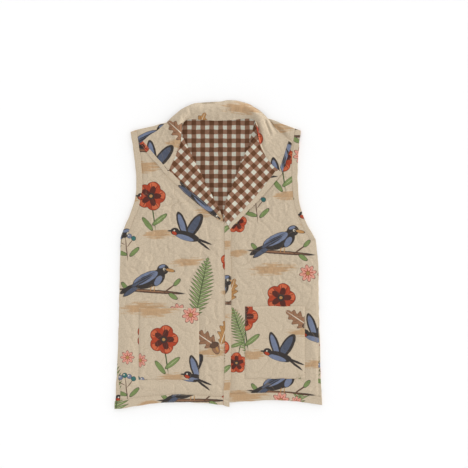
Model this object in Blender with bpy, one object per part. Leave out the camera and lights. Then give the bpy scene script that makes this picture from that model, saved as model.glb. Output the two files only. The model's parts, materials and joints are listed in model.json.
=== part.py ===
"""Quilted vest laid flat on its back: collar towards +Y, fronts uppermost.

Every piece is a closed wall of cloth. Left is -X and right is +X, as seen from above.
Sizes and tables are in millimetres, and the meshes are made in metres.
"""

import math
from collections import namedtuple

import bmesh
import bpy
import numpy as np

MM = 0.001

# Cloth thicknesses
SEAM_GAP = 0.3        # air between pieces that are sewn to each other
BACK_WALL = 3.0       # quilted back panel
FRONT_WALL = 2.2      # front panel where sewing presses it flat
LAPEL_WALL = 2.4
COLLAR_WALL = 3.0
COLLAR_LIP = 2.2      # height of the collar's outer and inner edges
POCKET_WALL = 1.5
STRIP_WALL = 1.0      # edging strips, facings and hem bands
FRONT_BAND_WALL = 2.0

# Heights of the layers above the surface that the vest lies on
FRONT_UNDER = BACK_WALL + SEAM_GAP
FRONT_PRESSED = FRONT_UNDER + FRONT_WALL
BED = FRONT_PRESSED + SEAM_GAP            # underside of what is sewn on a front
LAPEL_TOP = BED + LAPEL_WALL
COLLAR_END_TOP = BED + COLLAR_LIP

# Quilting: pillows between wandering lines of stitches
QUILT_RISE = 1.7
QUILT_REPEAT = 52.0   # length of one wave of the lines, across the cloth
QUILT_STRETCH = 0.9   # waves up the cloth for each wave across it
QUILT_WANDER = 1.1    # how far the lines sway, in radians of a wave
QUILT_SWAY = (0.7, 0.8)   # sways for each wave, of the lines up and across the cloth
QUILT_SHIFT = 1.0     # keeps the two sways out of step
QUILT_DRIFT = 0.8     # long wave that keeps the lines from crossing
QUILT_DRIFT_SWAY = (0.55, 0.65)
QUILT_FLAT = 11.0     # cloth beside a sewn-on piece that stays pressed
QUILT_FADE = 16.0     # distance over which the pillows grow to full height
SEAM_FLAT = 3.0       # pressed border along side and shoulder seams
POCKET_QUILT = 0.7    # pillows on a pocket, as a share of those on a front
COLLAR_QUILT = 0.5
COLLAR_QUILT_CROWN = 4.0   # roll height from which the collar's pillows are full

# Strips and bands
FRONT_BAND_LEFT = 14.5
FRONT_BAND_RIGHT = 28.5
FRONT_BAND_DROP = 4.0      # the band's free corner hangs below the hem
FRONT_BAND_TOP = 77.0      # where its inner edge ends
FRONT_BAND_SLANT = 22.0    # its top end falls this far, along the foot of the right lapel
HEM_BAND_WIDTH = 17.0
ARMHOLE_BAND_WIDTH = 14.0
COLLAR_BAND_WIDTH = 10.0
LAPEL_BAND_WIDTH = {"left": 12.5, "right": 16.0}
LAPEL_BAND_SHARE = 0.45   # most of a lapel's width that its edging takes
POCKET_HEM = 25.0
POCKET_HEM_RISE = 0.8
ROLL_RISE = 2.6           # height of the rolled fold of a lapel above the lapel

# Grid sizes
FRONT_COLUMNS = 26
SKIRT_ROWS = 40
CHEST_ROWS = 26
SEAM_ROWS = 12
COLLAR_FALL_ROWS = 8
COLLAR_NECK_ROWS = 44
LAPEL_FREE_ROWS = 12
POCKET_COLUMNS = 15
POCKET_ROWS = 18
FLAT_ANGLE = math.radians(0.05)
SHARP_ANGLE = math.radians(40)

# A level of a front: where its side and its closing or neck edge lie
Level = namedtuple("Level", "side_x side_y edge_x edge_y")

SKIRT = {
    "left": [
        Level(-237.0, -355, 17.5, -347),
        Level(-231.0, -290, 17.5, -285),
        Level(-229.5, -221, 17.5, -215),
        Level(-227.0, -120, 17.5, -110),
        Level(-225.0, -30, 17.5, -15),
        Level(-224.0, 36, 17.5, 66),
    ],
    "right": [
        Level(239.0, -346, 17.8, -340),
        Level(236.0, -290, 17.8, -285),
        Level(235.0, -221, 17.8, -215),
        Level(231.5, -120, 17.8, -110),
        Level(230.5, -30, 17.8, -18),
        Level(224.5, 34, 17.8, 52),
    ],
}
CHEST = {
    "left": [
        Level(-224.0, 36, 17.5, 66),
        Level(-211.0, 69, -9.0, 109),
        Level(-199.0, 98, -24.0, 139),
        Level(-190.0, 128, -41.0, 173),
        Level(-187.0, 165, -58.0, 206),
        Level(-190.0, 207, -76.0, 238),
        Level(-195.0, 243, -91.0, 268),
        Level(-201.0, 281, -101.0, 307),
    ],
    "right": [
        Level(224.5, 34, 17.8, 52),
        Level(210.0, 58, 24.0, 96),
        Level(196.0, 88, 37.0, 138),
        Level(187.0, 118, 50.0, 175),
        Level(183.5, 160, 64.0, 208),
        Level(183.0, 207, 81.0, 240),
        Level(186.0, 243, 104.0, 268),
        Level(190.0, 283, 113.0, 312),
    ],
}
HEM_ARCH = {"left": 11.0, "right": 8.0}   # how far the hem rises between its corners
BACK_HEM_SHORT = 3.0                      # the back's hem stops this far above the fronts'

# The back's top edge from shoulder tip to shoulder tip
NeckPoint = namedtuple("NeckPoint", "x y")
BACK_TOP = [
    NeckPoint(-201, 281),
    NeckPoint(-101, 307),
    NeckPoint(-66, 313),
    NeckPoint(5, 312),
    NeckPoint(66, 316),
    NeckPoint(113, 312),
    NeckPoint(190, 283),
]

# A lapel's sections: its rolled fold and its outer edge, from the foot of the neck opening upwards
LapelLevel = namedtuple("LapelLevel", "roll_x roll_y outer_x outer_y")
LAPEL_FREE = {
    "left": [
        LapelLevel(12, 80.5, 9, 75.5),
        LapelLevel(0, 109, -18, 93),
        LapelLevel(-16, 139, -45, 114),
        LapelLevel(-33, 173, -74, 138),
        LapelLevel(-57, 221, -118, 181),
    ],
    "right": [
        LapelLevel(13.5, 80, 28.5, 56.5),
        LapelLevel(13.5, 101, 38, 67.5),
        LapelLevel(19, 124, 53, 82.5),
        LapelLevel(31, 153, 83, 113),
        LapelLevel(42, 181, 113, 145),
        LapelLevel(54, 212, 148, 187),
    ],
}
# Along these the lapel is sewn to the collar
LAPEL_GORGE = {
    "left": [
        LapelLevel(-57, 221, -118, 181),
        LapelLevel(-66, 238, -102, 215),
        LapelLevel(-74, 254, -88, 246),
        LapelLevel(-80.5, 270, -84, 268),
    ],
    "right": [
        LapelLevel(54, 212, 148, 187),
        LapelLevel(63, 232, 121, 208),
        LapelLevel(76, 252, 103, 237),
        LapelLevel(91, 272, 95, 266),
    ],
}

# Across a lapel, from its fold to its outer edge: how far it is rolled up.
# Its first column stands on the back's inside, and the others lie over the front.
Fold = namedtuple("Fold", "share roll")
LAPEL_FOLD = [
    Fold(0.0, 0.0),
    Fold(0.06, 0.75),
    Fold(0.14, 1.0),
    Fold(0.26, 0.6),
    Fold(0.40, 0.2),
    Fold(0.55, 0.0),
    Fold(1.0, 0.0),
]

# The collar's free outer edge beside each gorge, from the collar's point upwards
EdgePoint = namedtuple("EdgePoint", "x y")
COLLAR_FALL = {
    "left": [EdgePoint(-180.5, 253), EdgePoint(-158, 271), EdgePoint(-138, 285), EdgePoint(-124, 297)],
    "right": [EdgePoint(171, 256), EdgePoint(155, 268), EdgePoint(139, 282), EdgePoint(126, 295)],
}
COLLAR_FALL_CROWN = (0.0, 0.0, 2.5, 5.5)

# Stations of the collar round the neck, from the left gorge's top to the right one's.
# seat_* are the heights that its underside keeps clear of, crown is the rise of its roll,
# and roll_at says where across it the roll is highest.
Station = namedtuple("Station", "inner_x inner_y outer_x outer_y seat_inner seat_mid seat_outer crown roll_at")
COLLAR_NECK = [
    Station(-84, 268, -124, 297, BED, BED, BED, 5.5, 0.28),
    Station(-82, 288, -101, 318, FRONT_UNDER, BED, BED, 8.0, 0.40),
    Station(-78, 302, -82, 334, FRONT_UNDER, 4.2, 2.0, 8.5, 0.55),
    Station(-64, 309, -60, 346, FRONT_UNDER, FRONT_UNDER, 0.0, 8.0, 0.65),
    Station(-28, 307, -28, 347.5, FRONT_UNDER, FRONT_UNDER, 0.0, 7.0, 0.70),
    Station(5, 306, 5, 350, FRONT_UNDER, FRONT_UNDER, 0.0, 7.0, 0.70),
    Station(39, 308, 30, 354, FRONT_UNDER, FRONT_UNDER, 0.0, 7.0, 0.70),
    Station(70, 311, 60, 349, FRONT_UNDER, FRONT_UNDER, 0.0, 8.0, 0.65),
    Station(84, 306, 88, 335, FRONT_UNDER, 4.2, 2.0, 8.5, 0.55),
    Station(91, 290, 108, 319, FRONT_UNDER, BED, BED, 8.0, 0.40),
    Station(95, 266, 126, 295, BED, BED, BED, 5.5, 0.28),
]
COLLAR_SHARES = np.array([0, 0.05, 0.12, 0.22, 0.34, 0.46, 0.58, 0.7, 0.8, 0.89, 0.95, 1.0])
COLLAR_SEAT_SHARES = (0.0, 0.12, 0.6, 1.0)

# Patch pockets
Pocket = namedtuple("Pocket", "left right top bottom")
POCKETS = {
    "left": Pocket(-181.5, -43.5, -124, -288),
    "right": Pocket(62, 199, -120, -286),
}

# Cloth colours: print ground, gingham, edging
PRINT_TAN = (0.52, 0.42, 0.30, 1.0)
GINGHAM_BROWN = (0.36, 0.22, 0.15, 1.0)
EDGING_TAN = (0.46, 0.36, 0.25, 1.0)


def smooth_rows(rows, count):
    """`count` points on a Catmull-Rom curve through the rows of a table."""
    table = np.array(rows, float)
    ends = np.vstack([2 * table[0] - table[1], table, 2 * table[-1] - table[-2]])
    place = np.linspace(0, len(table) - 1, count)
    row = np.minimum(place.astype(int), len(table) - 2)
    t = (place - row)[:, None]
    before, start, stop, after = (ends[row + k] for k in range(4))
    return 0.5 * (
        2 * start
        + (stop - before) * t
        + (2 * before - 5 * start + 4 * stop - after) * t**2
        + (3 * start - before - 3 * stop + after) * t**3
    )


def straight_rows(rows, count):
    """`count` values read in straight lines between the rows of a table."""
    table = np.array(rows, float)
    place = np.linspace(0, len(table) - 1, count)
    return np.interp(place, np.arange(len(table)), table)


def ruled(start, stop, shares):
    """Plan grid whose rows run straight from the points of one edge to those of another."""
    share = np.asarray(shares, float)[None, :, None]
    return start[:, None, :] * (1 - share) + stop[:, None, :] * share


def moved(points, towards, distance, most=1.0):
    """Points moved a set distance towards others, at most the given share of the way."""
    step = towards - points
    length = np.linalg.norm(step, axis=1, keepdims=True)
    return points + step * np.minimum(distance / length, most)


def outline_of(plan):
    """The closed outline of a plan grid."""
    return np.vstack([plan[0, :-1], plan[:-1, -1], plan[-1, :0:-1], plan[:0:-1, 0]])


def clearance(points, outline):
    """Distance of each point outside an outline, negative inside it."""
    start = outline[None]
    step = np.roll(outline, -1, axis=0)[None] - start
    offset = points[:, None] - start
    share = np.clip((offset * step).sum(2) / np.maximum((step**2).sum(2), 1e-9), 0, 1)
    distance = np.linalg.norm(offset - share[..., None] * step, axis=2).min(1)
    stop_y = start[..., 1] + step[..., 1]
    spans = (start[..., 1] > points[:, None, 1]) != (stop_y > points[:, None, 1])
    rise = np.where(np.abs(step[..., 1]) < 1e-9, 1e-9, step[..., 1])
    crossing = start[..., 0] + step[..., 0] * (points[:, None, 1] - start[..., 1]) / rise
    inside = (spans & (crossing > points[:, None, 0])).sum(1) % 2 == 1
    return np.where(inside, -distance, distance)


def quilting(points):
    """Pillow height, 0 on the stitched lines and about 1 between them."""
    turn = 2 * math.pi / QUILT_REPEAT
    x = points[..., 0] * turn
    y = points[..., 1] * turn
    across = np.sin(x + QUILT_WANDER * np.sin(QUILT_SWAY[0] * y))
    along = np.sin(QUILT_STRETCH * y + QUILT_WANDER * np.sin(QUILT_SWAY[1] * x + QUILT_SHIFT))
    drift = QUILT_DRIFT * np.sin(QUILT_DRIFT_SWAY[0] * x + QUILT_DRIFT_SWAY[1] * y)
    return np.sqrt(np.minimum(np.abs(across + along + drift) / 2, 1))


def ease(value):
    """Smooth step from 0 to 1."""
    share = np.clip(value, 0, 1)
    return share * share * (3 - 2 * share)


def with_height(plan, height):
    """Plan points with a height for each, or one height for all."""
    level = np.broadcast_to(np.asarray(height, float), plan.shape[:2])
    return np.concatenate([plan, level[..., None]], axis=2)


def cloth_material(name, colour):
    material = bpy.data.materials.new(name)
    material.use_nodes = True
    shader = material.node_tree.nodes["Principled BSDF"]
    shader.inputs["Base Color"].default_value = colour
    shader.inputs["Roughness"].default_value = 0.9
    shader.inputs["Metallic"].default_value = 0.0
    return material


def cloth_wall(name, outer, inner, colour):
    """A named object: the closed wall of cloth between two grids of points."""
    rows, columns = outer.shape[:2]
    wall = bmesh.new()
    bmesh.ops.create_grid(wall, x_segments=columns - 1, y_segments=rows - 1, size=1)
    outside = list(wall.verts)
    copied = bmesh.ops.extrude_face_region(wall, geom=wall.faces[:], use_keep_orig=True)
    inside = [item for item in copied["geom"] if isinstance(item, bmesh.types.BMVert)]
    place = inner.reshape(-1, 3).mean(axis=0)
    for verts, points in ((outside, outer), (inside, inner)):
        for vert in verts:
            row = round((vert.co.y + 1) / 2 * (rows - 1))
            column = round((vert.co.x + 1) / 2 * (columns - 1))
            vert.co = (points[row, column] - place) * MM
    bmesh.ops.recalc_face_normals(wall, faces=wall.faces)
    bmesh.ops.dissolve_limit(wall, angle_limit=FLAT_ANGLE, verts=wall.verts, edges=wall.edges)
    bmesh.ops.triangulate(wall, faces=wall.faces)
    mesh = bpy.data.meshes.new(name)
    wall.to_mesh(mesh)
    wall.free()
    mesh.materials.append(cloth_material(name + "_cloth", colour))
    mesh.shade_smooth()
    mesh.set_sharp_from_angle(angle=SHARP_ANGLE)
    piece = bpy.data.objects.new(name, mesh)
    piece.location = place * MM
    piece.parent = frame
    vest.objects.link(piece)
    return piece


def front_edges(side):
    """The side and closing edges of a front, from the hem up to the shoulder."""
    skirt = smooth_rows(SKIRT[side], SKIRT_ROWS + 1)
    chest = smooth_rows(CHEST[side], CHEST_ROWS + 1)
    rows = np.vstack([skirt, chest[1:]])
    return rows[:, :2], rows[:, 2:]


def front_plan(side, shares):
    """Plan of a front at the given shares of the way from its closing edge to its side."""
    outer, edge = front_edges(side)
    plan = ruled(edge, outer, shares)
    row = np.arange(len(outer)) / SKIRT_ROWS
    fade = np.clip(1 - row, 0, 1) ** 2
    plan[..., 1] += HEM_ARCH[side] * fade[:, None] * np.sin(math.pi * np.asarray(shares))[None]
    return plan


def lapel_rows(side):
    """The rolled fold and the outer edge of a lapel, the gorge stretch parted from the collar."""
    free = smooth_rows(LAPEL_FREE[side], LAPEL_FREE_ROWS + 1)
    gorge = smooth_rows(LAPEL_GORGE[side], COLLAR_FALL_ROWS + 1)
    rows = np.vstack([free[:-1], gorge])
    roll, outer = rows[:, :2], rows[:, 2:]
    outer[LAPEL_FREE_ROWS:] = moved(outer[LAPEL_FREE_ROWS:], roll[LAPEL_FREE_ROWS:], SEAM_GAP)
    return roll, outer


def lapel_plan(side, shares):
    roll, outer = lapel_rows(side)
    return ruled(roll, outer, shares)


def collar_edges():
    """The collar's inner and outer edges, from its left point to its right one."""
    gorge = {side: smooth_rows(LAPEL_GORGE[side], COLLAR_FALL_ROWS + 1)[:, 2:] for side in LAPEL_GORGE}
    fall = {side: smooth_rows(COLLAR_FALL[side], COLLAR_FALL_ROWS + 1) for side in COLLAR_FALL}
    neck = smooth_rows([station[:4] for station in COLLAR_NECK], COLLAR_NECK_ROWS + 1)
    inner = np.vstack([gorge["left"], neck[1:-1, :2], gorge["right"][::-1]])
    outer = np.vstack([fall["left"], neck[1:-1, 2:], fall["right"][::-1]])
    return moved(inner, outer, SEAM_GAP), outer


def along_collar(fall_values, column):
    """One value along the whole collar: over its falls, and from a column of its neck stations."""
    fall = straight_rows(fall_values, COLLAR_FALL_ROWS + 1)
    neck = straight_rows([getattr(station, column) for station in COLLAR_NECK], COLLAR_NECK_ROWS + 1)
    return np.concatenate([fall, neck[1:-1], fall[::-1]])


def strip_plan(first, second, columns):
    """Plan of a strip between two edges, with the given number of columns across it."""
    return ruled(first, second, np.linspace(0, 1, columns))


def hem_band_plan(side, shares):
    """The strip along a front's hem."""
    plan = front_plan(side, shares)
    hem = plan[0]
    return strip_plan(hem, moved(hem, plan[SKIRT_ROWS // 2], HEM_BAND_WIDTH), 2)


def armhole_band_plan(side):
    """The strip round a front's armhole."""
    outer, edge = front_edges(side)
    armhole = outer[SKIRT_ROWS:]
    return strip_plan(armhole, moved(armhole, edge[SKIRT_ROWS:], ARMHOLE_BAND_WIDTH), 2)


def lapel_band_plan(side):
    """The edging of a lapel's free outer edge."""
    roll, outer = lapel_rows(side)
    free = slice(0, LAPEL_FREE_ROWS + 1)
    inside = moved(outer[free], roll[free], LAPEL_BAND_WIDTH[side], LAPEL_BAND_SHARE)
    return strip_plan(outer[free], inside, 2)


def collar_band_plan(plan):
    """The edging of one end of the collar, given the collar's plan from that end on."""
    end = plan[0]
    return strip_plan(end, moved(end, plan[COLLAR_FALL_ROWS // 2], COLLAR_BAND_WIDTH), 2)


def pocket_plan(side):
    pocket = POCKETS[side]
    x = np.linspace(pocket.left, pocket.right, POCKET_COLUMNS)
    hem = np.array([pocket.top - POCKET_HEM, pocket.top - POCKET_HEM + SEAM_FLAT, pocket.top])
    y = np.concatenate([np.linspace(pocket.bottom, hem[0], POCKET_ROWS), hem[1:]])
    return np.stack(np.meshgrid(x, y), axis=2)


def front_band_plan():
    """The band over the closing edge, from the hem to the lapels' feet."""
    share = np.linspace(0, 1, SEAM_ROWS)
    low = SKIRT["left"][0].edge_y
    left = np.stack([np.full(SEAM_ROWS, FRONT_BAND_LEFT), low + (FRONT_BAND_TOP - low) * share], axis=1)
    fall = FRONT_BAND_DROP + (FRONT_BAND_SLANT - FRONT_BAND_DROP) * share
    right = np.stack([np.full(SEAM_ROWS, FRONT_BAND_RIGHT), left[:, 1] - fall], axis=1)
    return strip_plan(left, right, 4)


def make_back():
    shares = np.linspace(0, 1, FRONT_COLUMNS)
    left, _ = front_edges("left")
    right, _ = front_edges("right")
    plan = ruled(left, right, shares)
    row = np.arange(len(left)) / SKIRT_ROWS
    hem = np.vstack([front_plan("left", shares)[0, ::-1], front_plan("right", shares)[0]])
    hem_lift = np.interp(plan[0, :, 0], hem[:, 0], hem[:, 1]) + BACK_HEM_SHORT - plan[0, :, 1]
    near_hem = np.clip(1 - row, 0, 1) ** 2
    plan[..., 1] += near_hem[:, None] * hem_lift[None]
    top = np.array(BACK_TOP, float)
    top_lift = np.interp(plan[-1, :, 0], top[:, 0], top[:, 1]) - plan[-1, :, 1]
    near_top = np.clip((row - 1) / (row[-1] - 1), 0, 1) ** 4
    plan[..., 1] += near_top[:, None] * top_lift[None]
    cloth_wall("back", with_height(plan, 0.0), with_height(plan, BACK_WALL), GINGHAM_BROWN)


def make_front(side, covers):
    """A quilted front: pillows raised on its face wherever nothing is sewn on it."""
    plan = front_plan(side, np.linspace(0, 1, FRONT_COLUMNS))
    points = plan.reshape(-1, 2)
    covered = np.min([clearance(points, outline) for outline in covers], axis=0)
    border = -clearance(points, outline_of(plan))
    swell = ease((covered - QUILT_FLAT) / QUILT_FADE) * ease((border - SEAM_FLAT) / QUILT_FADE)
    rise = QUILT_RISE * (quilting(points) * swell).reshape(plan.shape[:2])
    face = with_height(plan, FRONT_PRESSED + rise)
    cloth_wall("front_" + side, face, with_height(plan, FRONT_UNDER), PRINT_TAN)


def make_lapel(side):
    """A lapel: its fold stands on the back's inside, rolls over the front's edge and lies on it."""
    plan = lapel_plan(side, [fold.share for fold in LAPEL_FOLD])
    under = np.array([FRONT_UNDER] + [BED] * (len(LAPEL_FOLD) - 1))
    face = under + LAPEL_WALL + ROLL_RISE * np.array([fold.roll for fold in LAPEL_FOLD])
    cloth_wall("lapel_" + side, with_height(plan, face[None]), with_height(plan, under[None]), GINGHAM_BROWN)


def make_collar(plan):
    """The rolled collar: a wall that arches from the neck seam over its roll to its outer edge."""
    share = COLLAR_SHARES[None]
    columns = ("seat_inner", "seat_mid", "seat_mid", "seat_outer")
    seats = zip(*(along_collar((BED, BED), column) for column in columns))
    seat = np.array([np.interp(COLLAR_SHARES, COLLAR_SEAT_SHARES, row) for row in seats])
    crown = along_collar(COLLAR_FALL_CROWN, "crown")[:, None]
    end_peak = COLLAR_NECK[0].roll_at
    peak = along_collar((end_peak, end_peak), "roll_at")[:, None]
    arch = np.where(
        share < peak,
        np.sin(math.pi / 2 * share / peak),
        np.cos(math.pi / 2 * (share - peak) / (1 - peak)),
    )
    pillows = COLLAR_QUILT * QUILT_RISE * quilting(plan) * arch * np.clip(crown / COLLAR_QUILT_CROWN, 0, 1)
    face = seat + COLLAR_LIP + crown * arch + pillows
    under = np.maximum(seat, face - COLLAR_WALL)
    cloth_wall("collar", with_height(plan, face), with_height(plan, under), PRINT_TAN)


def make_pocket(side, plan):
    """A patch pocket: a quilted patch with a turned hem along its top."""
    pocket = POCKETS[side]
    points = plan.reshape(-1, 2)
    border = -clearance(points, outline_of(plan))
    below_hem = pocket.top - POCKET_HEM - points[:, 1]
    swell = ease((border - SEAM_FLAT) / QUILT_FADE) * ease(below_hem / QUILT_FADE)
    rise = POCKET_QUILT * QUILT_RISE * quilting(points) * swell
    rise = rise + POCKET_HEM_RISE * (below_hem < 0)
    face = with_height(plan, BED + POCKET_WALL + rise.reshape(plan.shape[:2]))
    cloth_wall("pocket_" + side, face, with_height(plan, BED), PRINT_TAN)


def make_strip(name, plan, under, wall, colour):
    cloth_wall(name, with_height(plan, under + wall), with_height(plan, under), colour)


for old in list(bpy.data.objects):
    bpy.data.objects.remove(old)

vest = bpy.data.collections.new("quilted_vest")
bpy.context.scene.collection.children.link(vest)
frame = bpy.data.objects.new("vest_frame", None)
vest.objects.link(frame)

collar_inner, collar_outer = collar_edges()
collar_plan = ruled(collar_inner, collar_outer, COLLAR_SHARES)
band_plan = front_band_plan()
width = {side: abs(SKIRT[side][0].side_x - SKIRT[side][0].edge_x) for side in SKIRT}
band_shares = {
    "left": (SKIRT["left"][0].edge_x - FRONT_BAND_LEFT + 2 * SEAM_GAP) / width["left"],
    "right": (FRONT_BAND_RIGHT + 2 * SEAM_GAP - SKIRT["right"][0].edge_x) / width["right"],
}

make_back()
make_collar(collar_plan)
make_strip("front_band", band_plan, BED, FRONT_BAND_WALL, EDGING_TAN)
for side in ("left", "right"):
    pocket = pocket_plan(side)
    hem_band = hem_band_plan(side, np.linspace(band_shares[side], 1, SEAM_ROWS))
    armhole_band = armhole_band_plan(side)
    lapel = lapel_plan(side, (0.0, 1.0))
    laid_on = (pocket, hem_band, armhole_band, lapel, collar_plan, band_plan)
    make_front(side, [outline_of(plan) for plan in laid_on])
    make_lapel(side)
    make_pocket(side, pocket)
    make_strip("hem_band_" + side, hem_band, BED, STRIP_WALL, EDGING_TAN)
    make_strip("armhole_band_" + side, armhole_band, BED, STRIP_WALL, EDGING_TAN)
    make_strip("lapel_band_" + side, lapel_band_plan(side), LAPEL_TOP + SEAM_GAP, STRIP_WALL, EDGING_TAN)
    end_plan = collar_plan if side == "left" else collar_plan[::-1]
    edging = collar_band_plan(end_plan)
    make_strip("collar_band_" + side, edging, COLLAR_END_TOP + SEAM_GAP, STRIP_WALL, EDGING_TAN)
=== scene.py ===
# %% [markdown]
# # A quilted cotton vest, laid out flat
#
# The frame holds the vest's pattern pieces as plain walls at their real size. This script sews
# the visible cloth on them: quilted fronts, gingham lining and lapels, a rolled collar, pockets,
# folded strips and their rows of stitches. It works in metres, and tables of cloth sizes are in
# millimetres, as a maker would write them down.

# %% Load the frame
import json
import math
from bisect import bisect_right
from collections import namedtuple

import bmesh
import bpy
from mathutils import Matrix, Vector, kdtree, noise
from mathutils.bvhtree import BVHTree

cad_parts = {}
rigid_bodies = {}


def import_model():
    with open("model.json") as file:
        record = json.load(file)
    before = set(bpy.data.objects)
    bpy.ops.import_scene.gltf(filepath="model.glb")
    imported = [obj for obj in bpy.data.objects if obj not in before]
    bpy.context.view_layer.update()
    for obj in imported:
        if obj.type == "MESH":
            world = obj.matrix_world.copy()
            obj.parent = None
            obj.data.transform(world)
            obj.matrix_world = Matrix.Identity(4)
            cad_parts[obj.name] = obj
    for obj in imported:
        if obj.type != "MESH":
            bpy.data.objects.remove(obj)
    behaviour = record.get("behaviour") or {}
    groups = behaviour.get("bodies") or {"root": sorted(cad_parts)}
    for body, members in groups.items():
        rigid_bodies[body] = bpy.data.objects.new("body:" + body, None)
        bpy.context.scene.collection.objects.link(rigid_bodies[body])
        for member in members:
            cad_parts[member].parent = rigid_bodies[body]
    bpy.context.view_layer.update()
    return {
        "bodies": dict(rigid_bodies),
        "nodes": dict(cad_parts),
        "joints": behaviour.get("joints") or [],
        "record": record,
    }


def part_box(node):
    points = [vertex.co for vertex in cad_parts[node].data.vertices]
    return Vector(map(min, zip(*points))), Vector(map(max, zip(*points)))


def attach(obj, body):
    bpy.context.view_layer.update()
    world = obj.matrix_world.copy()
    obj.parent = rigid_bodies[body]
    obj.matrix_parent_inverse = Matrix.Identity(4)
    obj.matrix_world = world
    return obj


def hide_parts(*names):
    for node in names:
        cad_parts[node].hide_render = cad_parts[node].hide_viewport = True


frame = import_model()
MM = 0.001
UP = Vector((0, 0, 1))

# %% [markdown]
# ## How high each layer lies
#
# A vest on a table is a stack: the back, the fronts on it, and the pockets, lapels and strips on
# the fronts. Typing these heights again would let them drift away from the frame, so they are
# read from the boxes of its nodes.

# %% Read the layers
BACK_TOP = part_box("back")[1].z
FRONT_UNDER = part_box("front_left")[0].z
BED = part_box("pocket_left")[0].z
SEAM_GAP = FRONT_UNDER - BACK_TOP
PRESSED = BED - SEAM_GAP
print(f"front {FRONT_UNDER / MM:.1f} to {PRESSED / MM:.1f} mm, sewn-on pieces from {BED / MM:.1f} mm")

# %% [markdown]
# ## The outline of a pattern piece
#
# Each piece is cut along the outline that its wall has when it is seen from above. A frame node is
# loose triangles, so a copy is merged first. The edges between its upper faces and its upright
# sides are then the cutting line, walked from point to point.

# %% Trace the cutting lines
MERGE = 1e-6
UPWARD = 0.05   # an upper face's normal points up by more than this


def merged(node):
    """A copy of a frame node with its triangles joined."""
    bm = bmesh.new()
    bm.from_mesh(frame["nodes"][node].data)
    bmesh.ops.remove_doubles(bm, verts=bm.verts, dist=MERGE)
    bm.normal_update()
    return bm


def area_of(outline):
    """The area inside a closed outline, below zero where it runs clockwise."""
    return sum(a.cross(b) for a, b in zip(outline, outline[1:] + outline[:1])) / 2


def cutting_line(node):
    """The node's outline from above, as points in anticlockwise order."""
    bm = merged(node)
    beside = {}
    for edge in bm.edges:
        if sum(face.normal.z > UPWARD for face in edge.link_faces) == 1:
            for one, other in (edge.verts, reversed(edge.verts)):
                beside.setdefault(one, []).append(other)
    walk = [next(iter(beside))]
    for _ in range(len(beside) - 1):
        walk.append(next(vert for vert in beside[walk[-1]] if vert not in walk[-2:-1]))
    points = [vert.co.to_2d() for vert in walk]
    bm.free()
    return points if area_of(points) > 0 else points[::-1]


print("points round the left front:", len(cutting_line("front_left")))

# %% [markdown]
# ## A piece of cloth between four sides
#
# Woven cloth is a grid of threads, so a grid is the natural mesh for it. Cutting a flat grid with a
# knife would leave ragged edges. Here the grid is stretched between the four sides of the cutting
# line instead, which is called a Coons patch, so its rows follow the edges and the sewing.

# %% Measure along a side
NIP = 0.5 * MM   # how far to both sides of a spot the direction is measured


class Side:
    """One side of a piece, measured along its length."""

    def __init__(self, points):
        self.points = points
        self.marks = [0.0]
        for a, b in zip(points, points[1:]):
            self.marks.append(self.marks[-1] + (b - a).length)
        self.length = self.marks[-1]

    def at(self, share):
        """The point at a share of the length, from 0 to 1."""
        reach = min(max(share, 0.0), 1.0) * self.length
        after = min(bisect_right(self.marks, reach), len(self.marks) - 1)
        low, high = self.marks[after - 1 : after + 1]
        return self.points[after - 1].lerp(self.points[after], (reach - low) / (high - low))

    def inset(self, depth, share):
        """The point that lies depth inside the side, on its left as it runs."""
        nip = NIP / self.length
        along = (self.at(share + nip) - self.at(share - nip)).normalized()
        return self.at(share) + depth * Vector((-along.y, along.x))


outline = cutting_line("front_left")
print("round the left front:", round(Side(outline + outline[:1]).length, 3), "m")

# %% Find the four corners
CORNER_REACH = 7 * MM   # how far to both sides of a point its bend is measured


def sharpest(points, count=4):
    """The places in a closed outline where it turns most, in order."""
    ring = Side(points + points[:1])
    found = []
    for i, mark in enumerate(ring.marks[:-1]):
        before = ring.at((mark - CORNER_REACH) / ring.length % 1.0)
        after = ring.at((mark + CORNER_REACH) / ring.length % 1.0)
        bend = (points[i] - before).angle_signed(after - points[i], 0.0)
        found.append((abs(bend), i))
    chosen = []
    for bend, i in sorted(found, reverse=True):
        if all((points[i] - points[j]).length > CORNER_REACH for j in chosen):
            chosen.append(i)
        if len(chosen) == count:
            break
    return sorted(chosen)


print("corners among the points of the left front:", sharpest(outline))

# %% Stretch a grid between four sides


class Patch:
    """A frame node's outline as four sides: bottom, right, top and left."""

    def __init__(self, node):
        self.outline = cutting_line(node)
        picks = sharpest(self.outline)
        first = min(range(4), key=lambda k: sum(self.outline[picks[k]]))
        picks = picks[first:] + picks[:first]
        ring = self.outline + self.outline
        ends = picks[1:] + picks[:1]
        self.sides = [Side(ring[a : b + 1 if b > a else b + len(self.outline) + 1])
                      for a, b in zip(picks, ends)]
        self.bottom, self.right, self.top, self.left = self.sides
        self.corners = [self.outline[i] for i in picks]
        self.area = area_of(self.outline)

    def spot(self, u, v):
        """The point of the cloth at u from left to right and v from bottom to top."""
        a, b, c, d = self.corners
        sides = (1 - v) * self.bottom.at(u) + v * self.top.at(1 - u)
        sides += (1 - u) * self.left.at(1 - v) + u * self.right.at(v)
        return sides - ((1 - u) * ((1 - v) * a + v * d) + u * ((1 - v) * b + v * c))

    def box(self):
        """The lowest and highest corner of the rectangle that the piece is cut from."""
        xs, ys = [p.x for p in self.outline], [p.y for p in self.outline]
        return Vector((min(xs), min(ys))), Vector((max(xs), max(ys)))

    def middle(self):
        return sum(self.box(), Vector((0, 0))) / 2

    def size(self):
        low, high = self.box()
        return tuple(high - low)


patches = {node: Patch(node) for node in frame["nodes"]}
for node, patch in patches.items():
    corners = [tuple(round(c / MM) for c in corner) for corner in patch.corners]
    print(f"{node}: corners {corners}, {patch.area * 1e4:.0f} cm2")

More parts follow.
